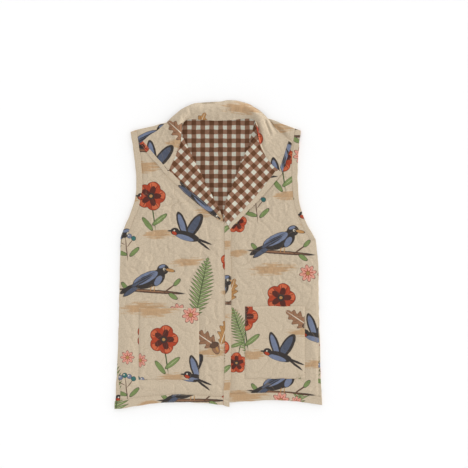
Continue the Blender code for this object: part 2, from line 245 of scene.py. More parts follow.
# %% [markdown]
# ## How the cloth swells
#
# Quilting joins two cloths and a thin wadding with wandering lines of stitches, and the cloth swells
# between them. Washing adds fine crinkles and puckers. A bump in the finish could fake them, but real
# heights also show along the edges and from the side. The stitch lines run where a few waves cancel
# out, so one formula serves the mesh here and, in the finish later, the colour of the thread together
# with painted shade along its groove.

# %% Swell and crinkle
QUILT_RISE = 0.95 * MM
QUILT_GROOVE = 0.4     # how soon the cloth is level again beside a line
QUILT_WAVE = 2 * math.pi / (52 * MM)
QUILT_STRETCH = 0.9
QUILT_WANDER = 1.1
QUILT_SWAY = (0.7, 0.8)
QUILT_SHIFT = 1.0
QUILT_DRIFT = 0.8
QUILT_DRIFT_SWAY = (0.55, 0.65)
CRINKLE_RISE = 0.7 * MM
CRINKLE_SIZE = 14 * MM
CRINKLE_PATCHES = 1.3   # how much more it crinkles in some places
PATCH_SIZE = 60 * MM
PUCKER_RISE = 0.38 * MM
PUCKER_SIZE = 6 * MM


def ease(share):
    """A smooth step from 0 to 1."""
    share = min(max(share, 0.0), 1.0)
    return share * share * (3 - 2 * share)


def bell(off, reach):
    """1 in the middle, falling softly to 0 past the reach."""
    return math.exp(-(off / reach) ** 2)


def quilt_waves(x, y, sine):
    """Waves that cancel out along the stitch lines. Both numbers and sockets can be put in."""
    across = sine(x + QUILT_WANDER * sine(QUILT_SWAY[0] * y))
    along = sine(QUILT_STRETCH * y + QUILT_WANDER * sine(QUILT_SWAY[1] * x + QUILT_SHIFT))
    return abs(across + along + QUILT_DRIFT * sine(QUILT_DRIFT_SWAY[0] * x + QUILT_DRIFT_SWAY[1] * y))


def quilting(x, y):
    """Height of the pillows between the stitch lines."""
    waves = quilt_waves(x * QUILT_WAVE, y * QUILT_WAVE, math.sin)
    return QUILT_RISE * (1 - math.exp(-waves / QUILT_GROOVE))


def crinkle(x, y):
    """Fine creases of washed cotton, more in some places than in others, with small puckers."""
    ridge = 1 - 2 * abs(noise.noise(Vector((x, y, 0)) / CRINKLE_SIZE))
    strength = max(1 + CRINKLE_PATCHES * noise.noise(Vector((x, y, 2)) / PATCH_SIZE), 0.0)
    pucker = noise.noise(Vector((x, y, 1)) / PUCKER_SIZE)
    return CRINKLE_RISE * strength * ridge ** 3 + PUCKER_RISE * pucker


pocket_middle = patches["pocket_left"].middle()
print("pillow height at the middle of the left pocket:", round(quilting(*pocket_middle) / MM, 2), "mm")

# %% [markdown]
# ## Creases and pulls
#
# Laying the vest out leaves broad soft creases. A simulation would choose its own folds, so they are
# placed where the photograph has them, and everything that lies on a front takes up the same creases.
# Hands guide the cloth under the needle and tug it straight on the table, so each spot also drifts a
# little from its place on the pattern.

# %% Place the creases
CREASE_REACH = 3     # widths from a crease at which the cloth is level
CREASE_ENDS = 0.6    # below 1, a crease keeps its height almost to its ends

# A soft fold from one spot to another; a rise below zero is a trough
Crease = namedtuple("Crease", "x1 y1 x2 y2 width rise")
CREASES = [
    Crease(-128, 172, -8, 62, 6, -1.3),
    Crease(-122, 158, -22, 58, 8, 1.0),
    Crease(-30, 46, -150, 20, 9, 0.9),
    Crease(-6, 40, -70, -70, 8, -0.8),
    Crease(-186, 130, -110, 96, 9, 1.0),
    Crease(-196, 92, -130, 40, 10, -0.9),
    Crease(-222, 20, -150, -34, 9, 1.0),
    Crease(-226, -60, -130, -92, 10, 0.8),
    Crease(-222, -322, -150, -240, 8, 1.2),
    Crease(-190, -336, -110, -296, 7, -1.0),
    Crease(-232, -250, -190, -180, 8, 0.9),
    Crease(-92, -300, -20, -262, 9, 0.8),
    Crease(-30, -40, -20, -150, 9, 0.7),
    Crease(-166, 262, -120, 196, 7, 1.0),
    Crease(160, 182, 30, 56, 6, -1.3),
    Crease(150, 160, 40, 46, 8, 1.0),
    Crease(40, 26, 130, -30, 9, 0.9),
    Crease(180, 126, 110, 70, 9, -0.9),
    Crease(196, 84, 120, 30, 9, 1.0),
    Crease(228, 14, 150, -20, 9, 0.9),
    Crease(230, -80, 140, -100, 10, 0.8),
    Crease(236, -326, 170, -300, 7, 1.1),
    Crease(226, -250, 206, -150, 8, 0.9),
    Crease(120, -300, 50, -318, 8, 0.8),
    Crease(40, -60, 46, -170, 9, -0.7),
    Crease(150, 268, 116, 214, 6, 1.1),
    Crease(132, 272, 100, 232, 5, -0.9),
    Crease(105, 312, 121, 271, 2.4, -2.4),
    Crease(112, 310, 128, 270, 3, 1.8),
    Crease(118, 306, 136, 276, 2.4, -1.6),
    Crease(126, 300, 158, 268, 3, -1.4),
    Crease(138, 298, 162, 276, 3, 1.0),
    Crease(-110, 300, -116, 276, 3, -1.5),
    Crease(-104, 302, -106, 268, 3.5, 1.3),
    Crease(-84, 320, -76, 304, 3, -0.9),
    Crease(-67, 342, -62, 318, 3, -1.2),
    Crease(-44, 348, -40, 322, 4, 0.7),
    Crease(-16, 348, -20, 324, 3, -0.6),
    Crease(4, 348, 0, 330, 3, 0.6),
    Crease(24, 352, 16, 326, 3, -1.1),
    Crease(34, 352, 30, 322, 4, 0.7),
    Crease(62, 344, 54, 322, 3.5, -1.1),
    Crease(86, 332, 74, 312, 4, 0.8),
]


def lie(x, y):
    """How far the laid cloth rises at a spot."""
    x, y = x / MM, y / MM
    rise = 0.0
    for x1, y1, x2, y2, width, height in CREASES:
        edge = CREASE_REACH * width
        if not min(x1, x2) - edge < x < max(x1, x2) + edge:
            continue
        if not min(y1, y2) - edge < y < max(y1, y2) + edge:
            continue
        run_x, run_y = x2 - x1, y2 - y1
        share = ((x - x1) * run_x + (y - y1) * run_y) / (run_x**2 + run_y**2)
        share = min(max(share, 0.0), 1.0)
        off = math.hypot(x - x1 - share * run_x, y - y1 - share * run_y)
        rise += height * bell(off, width) * math.sin(math.pi * share) ** CREASE_ENDS
    return rise * MM


print("creases:", len(CREASES), "of which troughs:", sum(crease.rise < 0 for crease in CREASES))

# %% Pull the cloth
DRIFT = 1.3 * MM
DRIFT_SIZE = 19 * MM
DRIFT_APART = Vector((7.3, 2.9, 0.5))   # keeps the drifts across and along out of step

# A tug at the laid cloth: its middle, how far it reaches across and along, and how far it shifts
Pull = namedtuple("Pull", "x y wide high dx dy")
PULLS = [
    Pull(-66, 346, 14, 14, 1.2, -3.0),
    Pull(95, 282, 17, 17, -3.6, 0.0),
    Pull(98, 256, 15, 15, -2.4, 0.0),
    Pull(-233, -285, 16, 45, -2.4, 0.0),
    Pull(22, -130, 24, 120, 2.4, 0.0),
    Pull(24, -345, 16, 40, -2.8, 0.0),
    Pull(74, -340, 40, 9, 0.0, -2.8),
    Pull(-190, -352, 50, 9, 0.0, -2.4),
]


def drift(spot):
    """How far hand-guided sewing and laying out leave a spot from its place on the pattern."""
    place = spot.to_3d() / DRIFT_SIZE
    shift = DRIFT * Vector((noise.noise(place), noise.noise(place + DRIFT_APART)))
    for pull in PULLS:
        across = (spot.x / MM - pull.x) / pull.wide
        along = (spot.y / MM - pull.y) / pull.high
        shift += math.exp(-across**2 - along**2) * MM * Vector((pull.dx, pull.dy))
    return shift


print("longest pull:", round(max(math.hypot(pull.dx, pull.dy) for pull in PULLS), 2), "mm")

# %% [markdown]
# ## Shader maths as plain sums
#
# Finishes are worked out at each point of the cloth by nodes. Wiring them one by one hides what they
# do, so a small class wraps a socket and lets Python's operators add the Math nodes. A second class
# holds a material and adds every other kind of node in one way.

# %% A socket that can be calculated with


def operator(operation, swapped=False):
    """A method that adds one Math node, with its terms swapped where the value comes second."""
    def method(value, other):
        terms = (other, value) if swapped else (value, other)
        return value.finish.maths(operation, *terms)
    return method


class Value:
    """A number or colour that a finish works out at each point."""

    def __init__(self, finish, socket):
        self.finish, self.socket = finish, socket

    __add__, __radd__ = operator("ADD"), operator("ADD", swapped=True)
    __sub__, __rsub__ = operator("SUBTRACT"), operator("SUBTRACT", swapped=True)
    __mul__, __rmul__ = operator("MULTIPLY"), operator("MULTIPLY", swapped=True)
    __truediv__, __rtruediv__ = operator("DIVIDE"), operator("DIVIDE", swapped=True)

    def to(self, operation, *others):
        """The value after a step of maths that has no operator, such as its sine."""
        return self.finish.maths(operation, self, *others)

    def __abs__(self):
        return self.to("ABSOLUTE")

    def wrapped(self, reach):
        """The value brought round into the range from -reach to reach."""
        return self.to("WRAP", reach, -reach)


# %% A finish that is built up from nodes


class Finish:
    """A material that is built up from nodes."""

    def __init__(self, name):
        self.material = bpy.data.materials.new(name)
        self.material.use_nodes = True
        self.tree = self.material.node_tree
        self.shader = self.tree.nodes["Principled BSDF"]

    def feed(self, node, inputs):
        """Sets a node's sockets, or links values to them."""
        for name, value in inputs.items():
            if isinstance(value, Value):
                self.tree.links.new(value.socket, node.inputs[name])
            else:
                node.inputs[name].default_value = value

    def add(self, kind, settings=None, inputs=None, output=0):
        """Adds a node, sets it, feeds its sockets, and returns one of its outputs."""
        node = self.tree.nodes.new(kind)
        for name, setting in (settings or {}).items():
            setattr(node, name, setting)
        self.feed(node, inputs or {})
        return Value(self, node.outputs[output])

    def maths(self, operation, *terms):
        return self.add("ShaderNodeMath", {"operation": operation}, dict(enumerate(terms)))

    def vector(self, operation, *terms, output="Vector"):
        return self.add("ShaderNodeVectorMath", {"operation": operation}, dict(enumerate(terms)), output)

    def parts(self, vector):
        """The three numbers of a vector."""
        first = self.add("ShaderNodeSeparateXYZ", None, {0: vector})
        return [Value(self, socket) for socket in first.socket.node.outputs]

    def mix(self, share, one, other):
        """One colour, with the other laid over it by share."""
        settings = {"data_type": "RGBA", "clamp_factor": True}
        return self.add("ShaderNodeMix", settings, {0: share, 6: one, 7: other}, output=2)

    def below(self, value, edge, soft):
        """1 where value is under edge and 0 over it, with a soft change between."""
        settings = {"interpolation_type": "SMOOTHSTEP", "clamp": False}
        limits = {"Value": value, "From Min": edge + soft, "From Max": edge - soft}
        return self.add("ShaderNodeMapRange", settings, limits)

    def cloth_place(self):
        """The place on the uncut cloth in millimetres, from the piece's own map."""
        uv = self.add("ShaderNodeUVMap", {"uv_map": "cloth"})
        return self.vector("MULTIPLY_ADD", uv, (1 / MM, 1 / MM, 0), (0, 0, 1))

    def noise(self, place, size, detail=2.0, output=0):
        inputs = {"Vector": place, "Scale": 1 / size, "Detail": detail}
        return self.add("ShaderNodeTexNoise", {"noise_dimensions": "2D"}, inputs, output)

    def shaken(self, place, size, reach):
        """The place, moved a little to and fro, as a hand or a loom does."""
        shake = self.noise(place, size, output="Color")
        shift = self.vector("MULTIPLY_ADD", shake, (reach, reach, 0), (-reach / 2, -reach / 2, 0))
        return self.vector("ADD", place, shift)


# %% [markdown]
# ## Matt cotton
#
# Every cloth of the vest is plain-woven cotton: the threads go over and under each other, some are a
# little thicker, and the surface hardly shines. Modelled threads would need millions of faces, so the
# weave is a bump in the finish. Colours are written down as they look in the photograph, and turned
# into what the cloth reflects.

# %% Weave the cotton
STUDIO_LIGHT = 1.2   # the lamps whiten the floor, so a colour looks this much lighter than it is
THREAD = 0.9         # millimetres from one thread to the next but one
WEAVE_SHARE = 0.35
WEAVE_DEPTH = 0.12 * MM
WEAVE_STRENGTH = 0.6
SLUB = 3.0           # size of the thicker places
SLUB_DETAIL = 3.0
SLUB_SHADE = 0.42
ROUGH = 0.86
ROUGH_CHANGE = 0.12
MATT = {"Specular IOR Level": 0.22, "Sheen Weight": 0.12, "Sheen Roughness": 0.6}


def ink(red, green, blue):
    """A colour as the photograph shows it, from 0 to 255, turned into what the cloth reflects."""
    shares = [level / 255 for level in (red, green, blue)]
    linear = [s / 12.92 if s <= 0.04045 else ((s + 0.055) / 1.055) ** 2.4 for s in shares]
    return (*(level / STUDIO_LIGHT for level in linear), 1.0)


def weave_cotton(finish, place, colour):
    """Feeds a finish's shader with a matt plain weave of that colour."""
    across, along, _ = finish.parts(finish.vector("MULTIPLY", place, (2 * math.pi / THREAD,) * 3))
    weave = across.to("SINE") * along.to("SINE")
    slub = finish.noise(place, SLUB, SLUB_DETAIL)
    uneven = slub - 0.5
    shade = 1.0 + uneven * SLUB_SHADE
    grey = finish.add("ShaderNodeCombineXYZ", None, {0: shade, 1: shade, 2: shade})
    bump = {"Height": weave * WEAVE_SHARE + slub, "Distance": WEAVE_DEPTH, "Strength": WEAVE_STRENGTH}
    finish.feed(finish.shader, {
        "Base Color": finish.vector("MULTIPLY", colour, grey),
        "Roughness": ROUGH + uneven * ROUGH_CHANGE,
        "Normal": finish.add("ShaderNodeBump", None, bump),
        **MATT,
    })
    return finish.material


print("the whitest cloth reflects:", round(ink(255, 255, 255)[0], 3))

# %% [markdown]
# ## Gingham
#
# Gingham is woven from bands of brown and white threads. Where two brown bands cross it is dark, where
# two white ones cross it is pale, and the rest is between. Counting the white bands at a point gives
# all three colours. The pieces' maps say how the weave lies, so one function weaves the lining, on the
# straight, and the lapels, on the bias. On the lining all three colours are darkened as painted shade,
# the shade that falls inside the neck. Real bands are never quite even, so the place is shaken.

# %% Weave the gingham
GINGHAM_REPEAT = 20.4
GINGHAM_WHITE = 4.75   # half the width of a white band
GINGHAM_BLEED = 0.35   # half the width of the change from band to band
GINGHAM_SHAKE = 2.2
GINGHAM_SHAKE_SIZE = 16.0
GINGHAM_DYES = ((96, 57, 27), (143, 105, 82), (208, 205, 188))   # dark, middle and pale
# Painted shade: the lining's gingham is darkened as the shade inside the neck would darken it
LINING_PAINTED_SHADE = 0.91     # the lining is a little greyer than the lapels


def weave_gingham(name, tone):
    finish = Finish(name)
    place = finish.cloth_place()
    woven = finish.shaken(place, GINGHAM_SHAKE_SIZE, GINGHAM_SHAKE)
    offs = [abs(thread.wrapped(GINGHAM_REPEAT / 2)) for thread in finish.parts(woven)[:2]]
    across, along = [finish.below(off, GINGHAM_WHITE, GINGHAM_BLEED) for off in offs]
    counted = across + along
    # A tone below 1 darkens all three colours as painted shade; the lining gets it, the lapels don't
    dark, middle, pale = [ink(*(level * tone for level in dye)) for dye in GINGHAM_DYES]
    colour = finish.mix(counted, dark, middle)
    colour = finish.mix(counted - 1.0, colour, pale)
    return weave_cotton(finish, place, colour)


gingham = weave_gingham("gingham_cotton", 1.0)
lining = weave_gingham("lining_gingham_shaded", LINING_PAINTED_SHADE)
print("gingham nodes:", len(gingham.node_tree.nodes))

# %% [markdown]
# ## A printed cotton
#
# The outer cloth has a country print in ink and wash on tan: dark birds on branches, rust poppies,
# ferns, oak leaves and dry brush strokes. An image would do, but the part carries none, so each motif
# is a table of ovals, and the shader lays them on one over another as a screen printer lays inks. A
# motif wraps round the edges of the repeat, and a little noise in the place makes the lines look drawn
# by hand.

# %% Inks and the repeat of the print
REPEAT = (286.0, 322.0)
TAN = ink(197, 180, 156)
WASH = ink(181, 146, 107)
BLACK = ink(50, 44, 41)
SLATE = ink(110, 119, 142)
STEEL = ink(76, 82, 98)
RUST = ink(166, 60, 30)
CORAL = ink(196, 96, 60)
MAROON = ink(82, 34, 24)
PINK = ink(214, 150, 132)
LEAF = ink(116, 134, 80)
MOSS = ink(70, 84, 48)
SAGE = ink(160, 166, 122)
BARK = ink(92, 66, 50)
WOOD = ink(146, 106, 78)
OCHRE = ink(176, 130, 78)
TEAL = ink(52, 104, 100)
CREAM = ink(222, 212, 192)
print("repeat of the print:", REPEAT, "mm")

# %% A place to draw on
# A blot of ink: its middle, half sizes, turn in degrees, colour and the width of its dark outline
Oval = namedtuple("Oval", "x y long wide turn ink line", defaults=(0.0,))

# A spot of the repeat that is drawn on: the place on the cloth, and the matrix to the drawing's axes
Motif = namedtuple("Motif", "place matrix")


def drawing_frame(x, y, turn, long, wide):
    """The matrix that brings a turned and stretched drawing back to its own plain axes."""
    c, s = math.cos(math.radians(turn)), math.sin(math.radians(turn))
    return Matrix(((c * long, -s * wide, x), (s * long, c * wide, y), (0, 0, 1))).inverted()


# %% A finish that is printed
WOBBLE = 1.3
WOBBLE_SIZE = 9.0
INK_BLEED = 0.8
STREAK_LENGTH = 9     # how many times as long as wide the streaks of a dry brush are
STREAK_SIZE = 3.4
STREAK_DETAIL = 3.0
# Along a stitch line the print is darkened both by the thread's colour and by painted shade of the groove
QUILT_LINE = 0.05     # how near to a stitch line, in waves, the thread shows
QUILT_LINE_SHADE = 0.3
QUILT_THREAD_AND_SHADE = ink(150, 128, 100)


class Print(Finish):
    """A finish that is printed one motif over another."""

    def __init__(self, name, ground):
        super().__init__(name)
        self.place = self.cloth_place()
        self.drawn = self.shaken(self.place, WOBBLE_SIZE, WOBBLE)
        streaks = self.vector("MULTIPLY", self.place, (1 / STREAK_LENGTH, 1.0, 0))
        self.streak = self.noise(streaks, STREAK_SIZE, STREAK_DETAIL)
        self.colour = ground

    def motif(self, x, y, turn=0.0, size=1.0, flip=1):
        """A drawing round a spot of the repeat, in millimetres."""
        high = (x + REPEAT[0] / 2, y + REPEAT[1] / 2, 2)
        low = (x - REPEAT[0] / 2, y - REPEAT[1] / 2, 0)
        near = self.vector("WRAP", self.drawn, high, low)
        return Motif(near, drawing_frame(x, y, turn, size * flip, size))

    def axes(self, motif, matrix=None):
        """The place along the drawing's two axes."""
        matrix = motif.matrix if matrix is None else matrix @ motif.matrix
        return [self.vector("DOT_PRODUCT", motif.place, tuple(row), output="Value") for row in matrix[:2]]

    def ring(self, motif, count):
        """A drawing that repeats round its middle, for the petals of a flower."""
        x, y = self.axes(motif)
        angle = y.to("ARCTAN2", x).wrapped(math.pi / count)
        out = (x * x + y * y).to("SQRT")
        inputs = {0: out * angle.to("COSINE"), 1: out * angle.to("SINE"), 2: 1.0}
        return Motif(self.add("ShaderNodeCombineXYZ", None, inputs), Matrix.Identity(3))

    def spread(self, motif, *frame):
        """The square of how far out a place is in an oval, where its edge is 1."""
        across, along = self.axes(motif, drawing_frame(*frame))
        return across * across + along * along

    def lay(self, share, colour):
        self.colour = self.mix(share, self.colour, colour)

    def ovals(self, motif, table, outline):
        """Prints a table of ovals in order, each with its outline under it."""
        for blot in table:
            out = self.spread(motif, blot.x, blot.y, blot.turn, blot.long, blot.wide)
            thin = min(blot.long, blot.wide)
            if blot.line:
                edge = (1 + blot.line / thin) ** 2
                self.lay(self.below(out, edge, INK_BLEED / thin), outline)
            self.lay(self.below(out, 1.0, INK_BLEED / thin), blot.ink)

    def repeat(self, places, table):
        """Prints a motif with black outlines at each of its places."""
        for place in places:
            self.ovals(self.motif(*place), table, BLACK)

    def stitch_quilting_and_shade(self):
        """Darkens the print along the quilting, which follows the pillows of the piece, with the thread's
        colour and painted shade of its groove.
        """
        spot = self.add("ShaderNodeTexCoord", output="Object")
        x, y, _ = self.parts(self.vector("MULTIPLY", spot, (QUILT_WAVE,) * 3))
        line = self.below(quilt_waves(x, y, lambda value: value.to("SINE")), QUILT_LINE, QUILT_LINE)
        quilted = self.add("ShaderNodeAttribute", {"attribute_name": "quilted"}, output="Fac")
        self.lay(line * quilted * QUILT_LINE_SHADE, QUILT_THREAD_AND_SHADE)


# %% [markdown]
# ## Motifs of the print
#
# Birds, flowers, berries and acorns are blots, each laid over the last, in millimetres round the
# motif's own middle. A flower needs one petal, because the place is folded round its middle. Leaves
# with many teeth would take too many blots, so their edges come from a wave along the stem.

# %% Blots of the motifs
PERCHED_BIRD = [
    Oval(2, -29, 66, 3.6, -4, BARK, 0.7),
    Oval(-8, -28, 50, 1.2, -4, WOOD),
    Oval(46, -22, 21, 1.8, 36, BARK),
    Oval(63, -8, 10, 4.6, 48, LEAF, 0.7),
    Oval(54, -41, 11, 4.8, -34, LEAF, 0.7),
    Oval(-60, -16, 10, 4.4, 130, LEAF, 0.7),
    Oval(-47, -22, 27, 6.6, 27, BLACK),
    Oval(-41, -26, 24, 5.2, 34, STEEL, 0.8),
    Oval(-2, -2, 36, 18, 22, BLACK),
    Oval(15, 2, 22, 17, 42, BLACK),
    Oval(30, 22, 14, 12.6, 10, BLACK),
    Oval(47, 20, 10, 3.4, -12, OCHRE, 0.7),
    Oval(19, -4, 13, 7, 58, SLATE),
    Oval(-10, 2, 31, 11, 26, SLATE, 0.8),
    Oval(-19, -4, 27, 5, 29, STEEL),
    Oval(-14, 0, 27, 1.1, 27, BLACK),
    Oval(-18, -8, 24, 1.1, 30, BLACK),
    Oval(-8, 7, 22, 1.0, 25, BLACK),
    Oval(28, 29, 8, 3.4, 18, SLATE),
    Oval(33, 23, 2.8, 2.8, 0, CREAM),
    Oval(33.6, 23, 1.5, 1.5, 0, BLACK),
    Oval(2, -23, 1.1, 6, -10, OCHRE),
    Oval(10, -23, 1.1, 6, -4, OCHRE),
]
FLYING_BIRD = [
    Oval(-38, -6, 22, 2.6, 14, BLACK),
    Oval(-38, -13, 22, 2.6, 30, BLACK),
    Oval(-14, 25, 13, 33, 24, BLACK),
    Oval(-12, 24, 8, 28, 24, STEEL),
    Oval(14, 25, 10, 31, -26, BLACK),
    Oval(14, 24, 6, 26, -26, SLATE),
    Oval(0, 0, 30, 10.5, 8, BLACK),
    Oval(4, -4, 21, 5.5, 10, SLATE),
    Oval(28, 7, 10, 8.5, 0, BLACK),
    Oval(29, 3, 6, 3.6, 20, RUST),
    Oval(39, 7, 6, 2.0, -6, BLACK),
    Oval(30, 9, 1.7, 1.7, 0, CREAM),
]
POPPY_STEM = [
    Oval(6, -46, 1.5, 30, 8, MOSS),
    Oval(20, -54, 19, 5.4, 38, LEAF, 0.7),
    Oval(-8, -64, 17, 5.0, 128, LEAF, 0.7),
    Oval(21, -53, 14, 1.0, 38, SAGE),
]
POPPY_PETAL = [
    Oval(17.5, 0, 15.5, 15.5, 0, RUST, 1.0),
    Oval(25, 2, 6.5, 9, 0, CORAL),
    Oval(13, 0, 11, 6.5, 0, MAROON),
    Oval(20, 5, 9, 0.8, 16, MAROON),
    Oval(20, -5, 9, 0.8, -16, MAROON),
]
POPPY_EYE = [Oval(0, 0, 7.5, 7.5, 0, BLACK), Oval(0, 0, 3.6, 3.6, 0, OCHRE)]
DAISY_PETAL = [Oval(10.5, 0, 8.5, 4.2, 0, PINK, 0.7), Oval(8, 0, 5, 0.9, 0, RUST)]
DAISY_EYE = [Oval(0, 0, 4.6, 4.6, 0, OCHRE, 0.8)]
BERRIES = [
    Oval(0, -10, 1.2, 30, -6, BARK),
    Oval(-11, 8, 12, 1.0, 142, BARK),
    Oval(12, 2, 13, 1.0, 40, BARK),
    Oval(-16, -18, 15, 5.0, 152, LEAF, 0.7),
    Oval(18, -22, 15, 5.0, 32, LEAF, 0.7),
    Oval(-20, 16, 5.6, 5.6, 0, TEAL, 0.8),
    Oval(-9, 22, 5.6, 5.6, 0, SLATE, 0.8),
    Oval(3, 25, 6.0, 6.0, 0, TEAL, 0.8),
    Oval(14, 20, 5.6, 5.6, 0, SLATE, 0.8),
    Oval(23, 12, 5.6, 5.6, 0, TEAL, 0.8),
    Oval(-10.5, 24, 1.6, 1.6, 0, CREAM),
    Oval(1.5, 27, 1.7, 1.7, 0, CREAM),
    Oval(12.5, 22, 1.6, 1.6, 0, CREAM),
]
ACORN = [
    Oval(0, -8, 7.5, 11, 0, WOOD, 0.8),
    Oval(2.2, -8, 2.2, 7.5, 0, OCHRE),
    Oval(0, 2.5, 9.5, 6, 0, BARK, 0.8),
    Oval(0, 11, 1.2, 4.5, 8, BARK),
]
print("blots in the largest motif:", len(PERCHED_BIRD))

# %% Brush strokes
STROKE_TURN = 4
STROKE_DRY = 1.9       # how much the streaks eat into a stroke
STROKE_EDGE = 1.45
STROKE_SOFT = 0.3
STROKE_COVER = 0.9


def paint_stroke(cloth, x, y, long, wide):
    """A dry stroke of a broad brush."""
    out = cloth.spread(cloth.motif(x, y), 0, 0, STROKE_TURN, long, wide)
    cloth.lay(cloth.below(out + cloth.streak * STROKE_DRY, STROKE_EDGE, STROKE_SOFT) * STROKE_COVER, WASH)


# %% Fern fronds
FROND_REACH = 27.0     # length of the longest leaflets
FROND_LEAST = 0.5
FROND_WAIST = 12.0     # how far they are below the middle
FROND_TAPER = 210.0
FROND_TIP = (0.6, 0.5)
FROND_INKS = ((1.12, MOSS), (0.86, LEAF))
FROND_LIGHT = 0.55     # the lighter upper half of a leaflet
FROND_SOFT = 0.1
FROND_STEM = [Oval(0, -8, 1.1, 62, 0, MOSS)]
LEAFLET_RISE = 0.62
LEAFLET_PITCH = 9.2
LEAFLET_WIDTH = 3.9
LEAFLET_FOLD = 0.3
OUTSIDE = 2            # added past the ends of a leaf, where nothing is printed


def paint_fern(cloth, frond):
    """A frond with leaflets on both sides of its stem."""
    across, along = cloth.axes(frond)
    side, above = abs(across), along + FROND_WAIST
    reach = FROND_REACH - above * above / FROND_TAPER
    leaflet = (along - side * LEAFLET_RISE).wrapped(LEAFLET_PITCH / 2)
    share = side / reach.to("MAXIMUM", FROND_LEAST)
    shape = abs(leaflet) / LEAFLET_WIDTH + share * share + cloth.below(reach, *FROND_TIP) * OUTSIDE
    for edge, colour in FROND_INKS:
        cloth.lay(cloth.below(shape, edge, FROND_SOFT), colour)
    lower = cloth.below(leaflet, 0.0, LEAFLET_FOLD)
    cloth.lay(cloth.below(shape + lower, FROND_LIGHT, FROND_SOFT), SAGE)
    cloth.ovals(frond, FROND_STEM, MOSS)


print("leaflets on each side:", round(2 * math.sqrt(FROND_REACH * FROND_TAPER) / LEAFLET_PITCH))

# %% Oak leaves
OAK_LENGTH = 40.0      # half the leaf
OAK_WIDTH = 14.0
OAK_LEAST = 0.2
OAK_TIP = (0.03, 0.02)
OAK_LOBE = 4.5
OAK_PITCH = 17         # from one lobe and its vein to the next
OAK_LOBE_RISE = 0.5
OAK_VEIN_RISE = 0.8
OAK_VEIN = (0.5, 0.4)
OAK_OUTLINE = 1.08
OAK_EDGE = 0.96
OAK_VEINED = 0.8
OAK_SOFT = 0.05
OAK_RIB = [Oval(0, -6, 0.9, 42, 0, CREAM)]


def paint_oak_leaf(cloth, leaf, colour):
    """A lobed leaf with veins and a pale rib."""
    across, along = cloth.axes(leaf)
    side = abs(across)
    wave = (along - side * OAK_LOBE_RISE) * (2 * math.pi / OAK_PITCH)
    ends = 1.0 - along * along / (OAK_LENGTH * OAK_LENGTH)
    width = (OAK_WIDTH + wave.to("COSINE") * OAK_LOBE) * ends.to("MAXIMUM", 0.0)
    shape = side / (width + OAK_LEAST) + cloth.below(ends, *OAK_TIP) * OUTSIDE
    vein = abs((along - side * OAK_VEIN_RISE).wrapped(OAK_PITCH / 2))
    cloth.lay(cloth.below(shape, OAK_OUTLINE, OAK_SOFT), BARK)
    cloth.lay(cloth.below(shape, OAK_EDGE, OAK_SOFT), colour)
    cloth.lay(cloth.below(vein, *OAK_VEIN) * cloth.below(shape, OAK_VEINED, OAK_SOFT), BARK)
    cloth.ovals(leaf, OAK_RIB, BARK)


print("lobes along an oak leaf:", round(2 * OAK_LENGTH / OAK_PITCH))

# %% [markdown]
# ## The printed cloth
#
# A repeat is laid out so that no motif lines up with the next one and the gaps between them are uneven,
# as in a hand-drawn print. The brush strokes go on first and the birds last, because a later ink covers
# an earlier one.

# %% Print the cloth
# A stroke's middle and half sizes
Stroke = namedtuple("Stroke", "x y long wide")
STROKES = [
    Stroke(58, 196, 62, 17),
    Stroke(222, 96, 52, 15),
    Stroke(160, 300, 46, 12),
    Stroke(96, 42, 44, 13),
    Stroke(262, 232, 34, 10),
]

# Where a motif lies in the repeat, its turn in degrees, its size, and -1 where it is mirrored
Place = namedtuple("Place", "x y turn size flip", defaults=(1,))
FERNS = [Place(196, 252, -12, 1.0), Place(268, 62, 20, 0.8, -1)]
OAK_LEAVES = {Place(206, 122, 56, 0.95): WOOD, Place(248, 142, -18, 0.85): OCHRE}
ACORNS = [Place(224, 108, 24, 1.0)]
POPPIES = [Place(78, 130, 0, 1.0), Place(262, 302, 160, 0.72)]
POPPY_PETALS = 5
DAISIES = [Place(140, 186, 10, 1.0), Place(24, 82, 0, 0.8), Place(176, 182, 40, 0.7)]
DAISY_PETALS = 8
BERRY_SPRIGS = [Place(20, 18, 12, 0.9)]
PERCHED_BIRDS = [Place(76, 262, 0, 0.98)]
FLYING_BIRDS = [Place(160, 38, -8, 1.0, -1)]


def print_cloth():
    cloth = Print("print_cotton", TAN)
    for stroke in STROKES:
        paint_stroke(cloth, *stroke)
    for place in FERNS:
        paint_fern(cloth, cloth.motif(*place))
    for place, colour in OAK_LEAVES.items():
        paint_oak_leaf(cloth, cloth.motif(*place), colour)
    cloth.repeat(ACORNS, ACORN)
    for place in POPPIES:
        poppy = cloth.motif(*place)
        cloth.ovals(poppy, POPPY_STEM, MOSS)
        cloth.ovals(cloth.ring(poppy, POPPY_PETALS), POPPY_PETAL, MAROON)
        cloth.ovals(poppy, POPPY_EYE, BLACK)
    for place in DAISIES:
        daisy = cloth.motif(*place)
        cloth.ovals(cloth.ring(daisy, DAISY_PETALS), DAISY_PETAL, MAROON)
        cloth.ovals(daisy, DAISY_EYE, MAROON)
    cloth.repeat(BERRY_SPRIGS, BERRIES)
    cloth.repeat(PERCHED_BIRDS, PERCHED_BIRD)
    cloth.repeat(FLYING_BIRDS, FLYING_BIRD)
    cloth.stitch_quilting_and_shade()
    return weave_cotton(cloth, cloth.place, cloth.colour)


printed = print_cloth()
print("print nodes:", len(printed.node_tree.nodes))

# %% [markdown]
# ## Cutting and closing a piece
#
# A piece starts as a flat grid, is raised to its height point by point, and gets its lower face by
# extruding the whole grid. A Solidify modifier could do this too, but here the lower face has to follow
# what the piece lies on. The rim is bevelled, because folded cloth has no sharp edge.

# %% Cut, raise and close
LEAST_CELLS = 4
RIM_SEGMENTS = 3


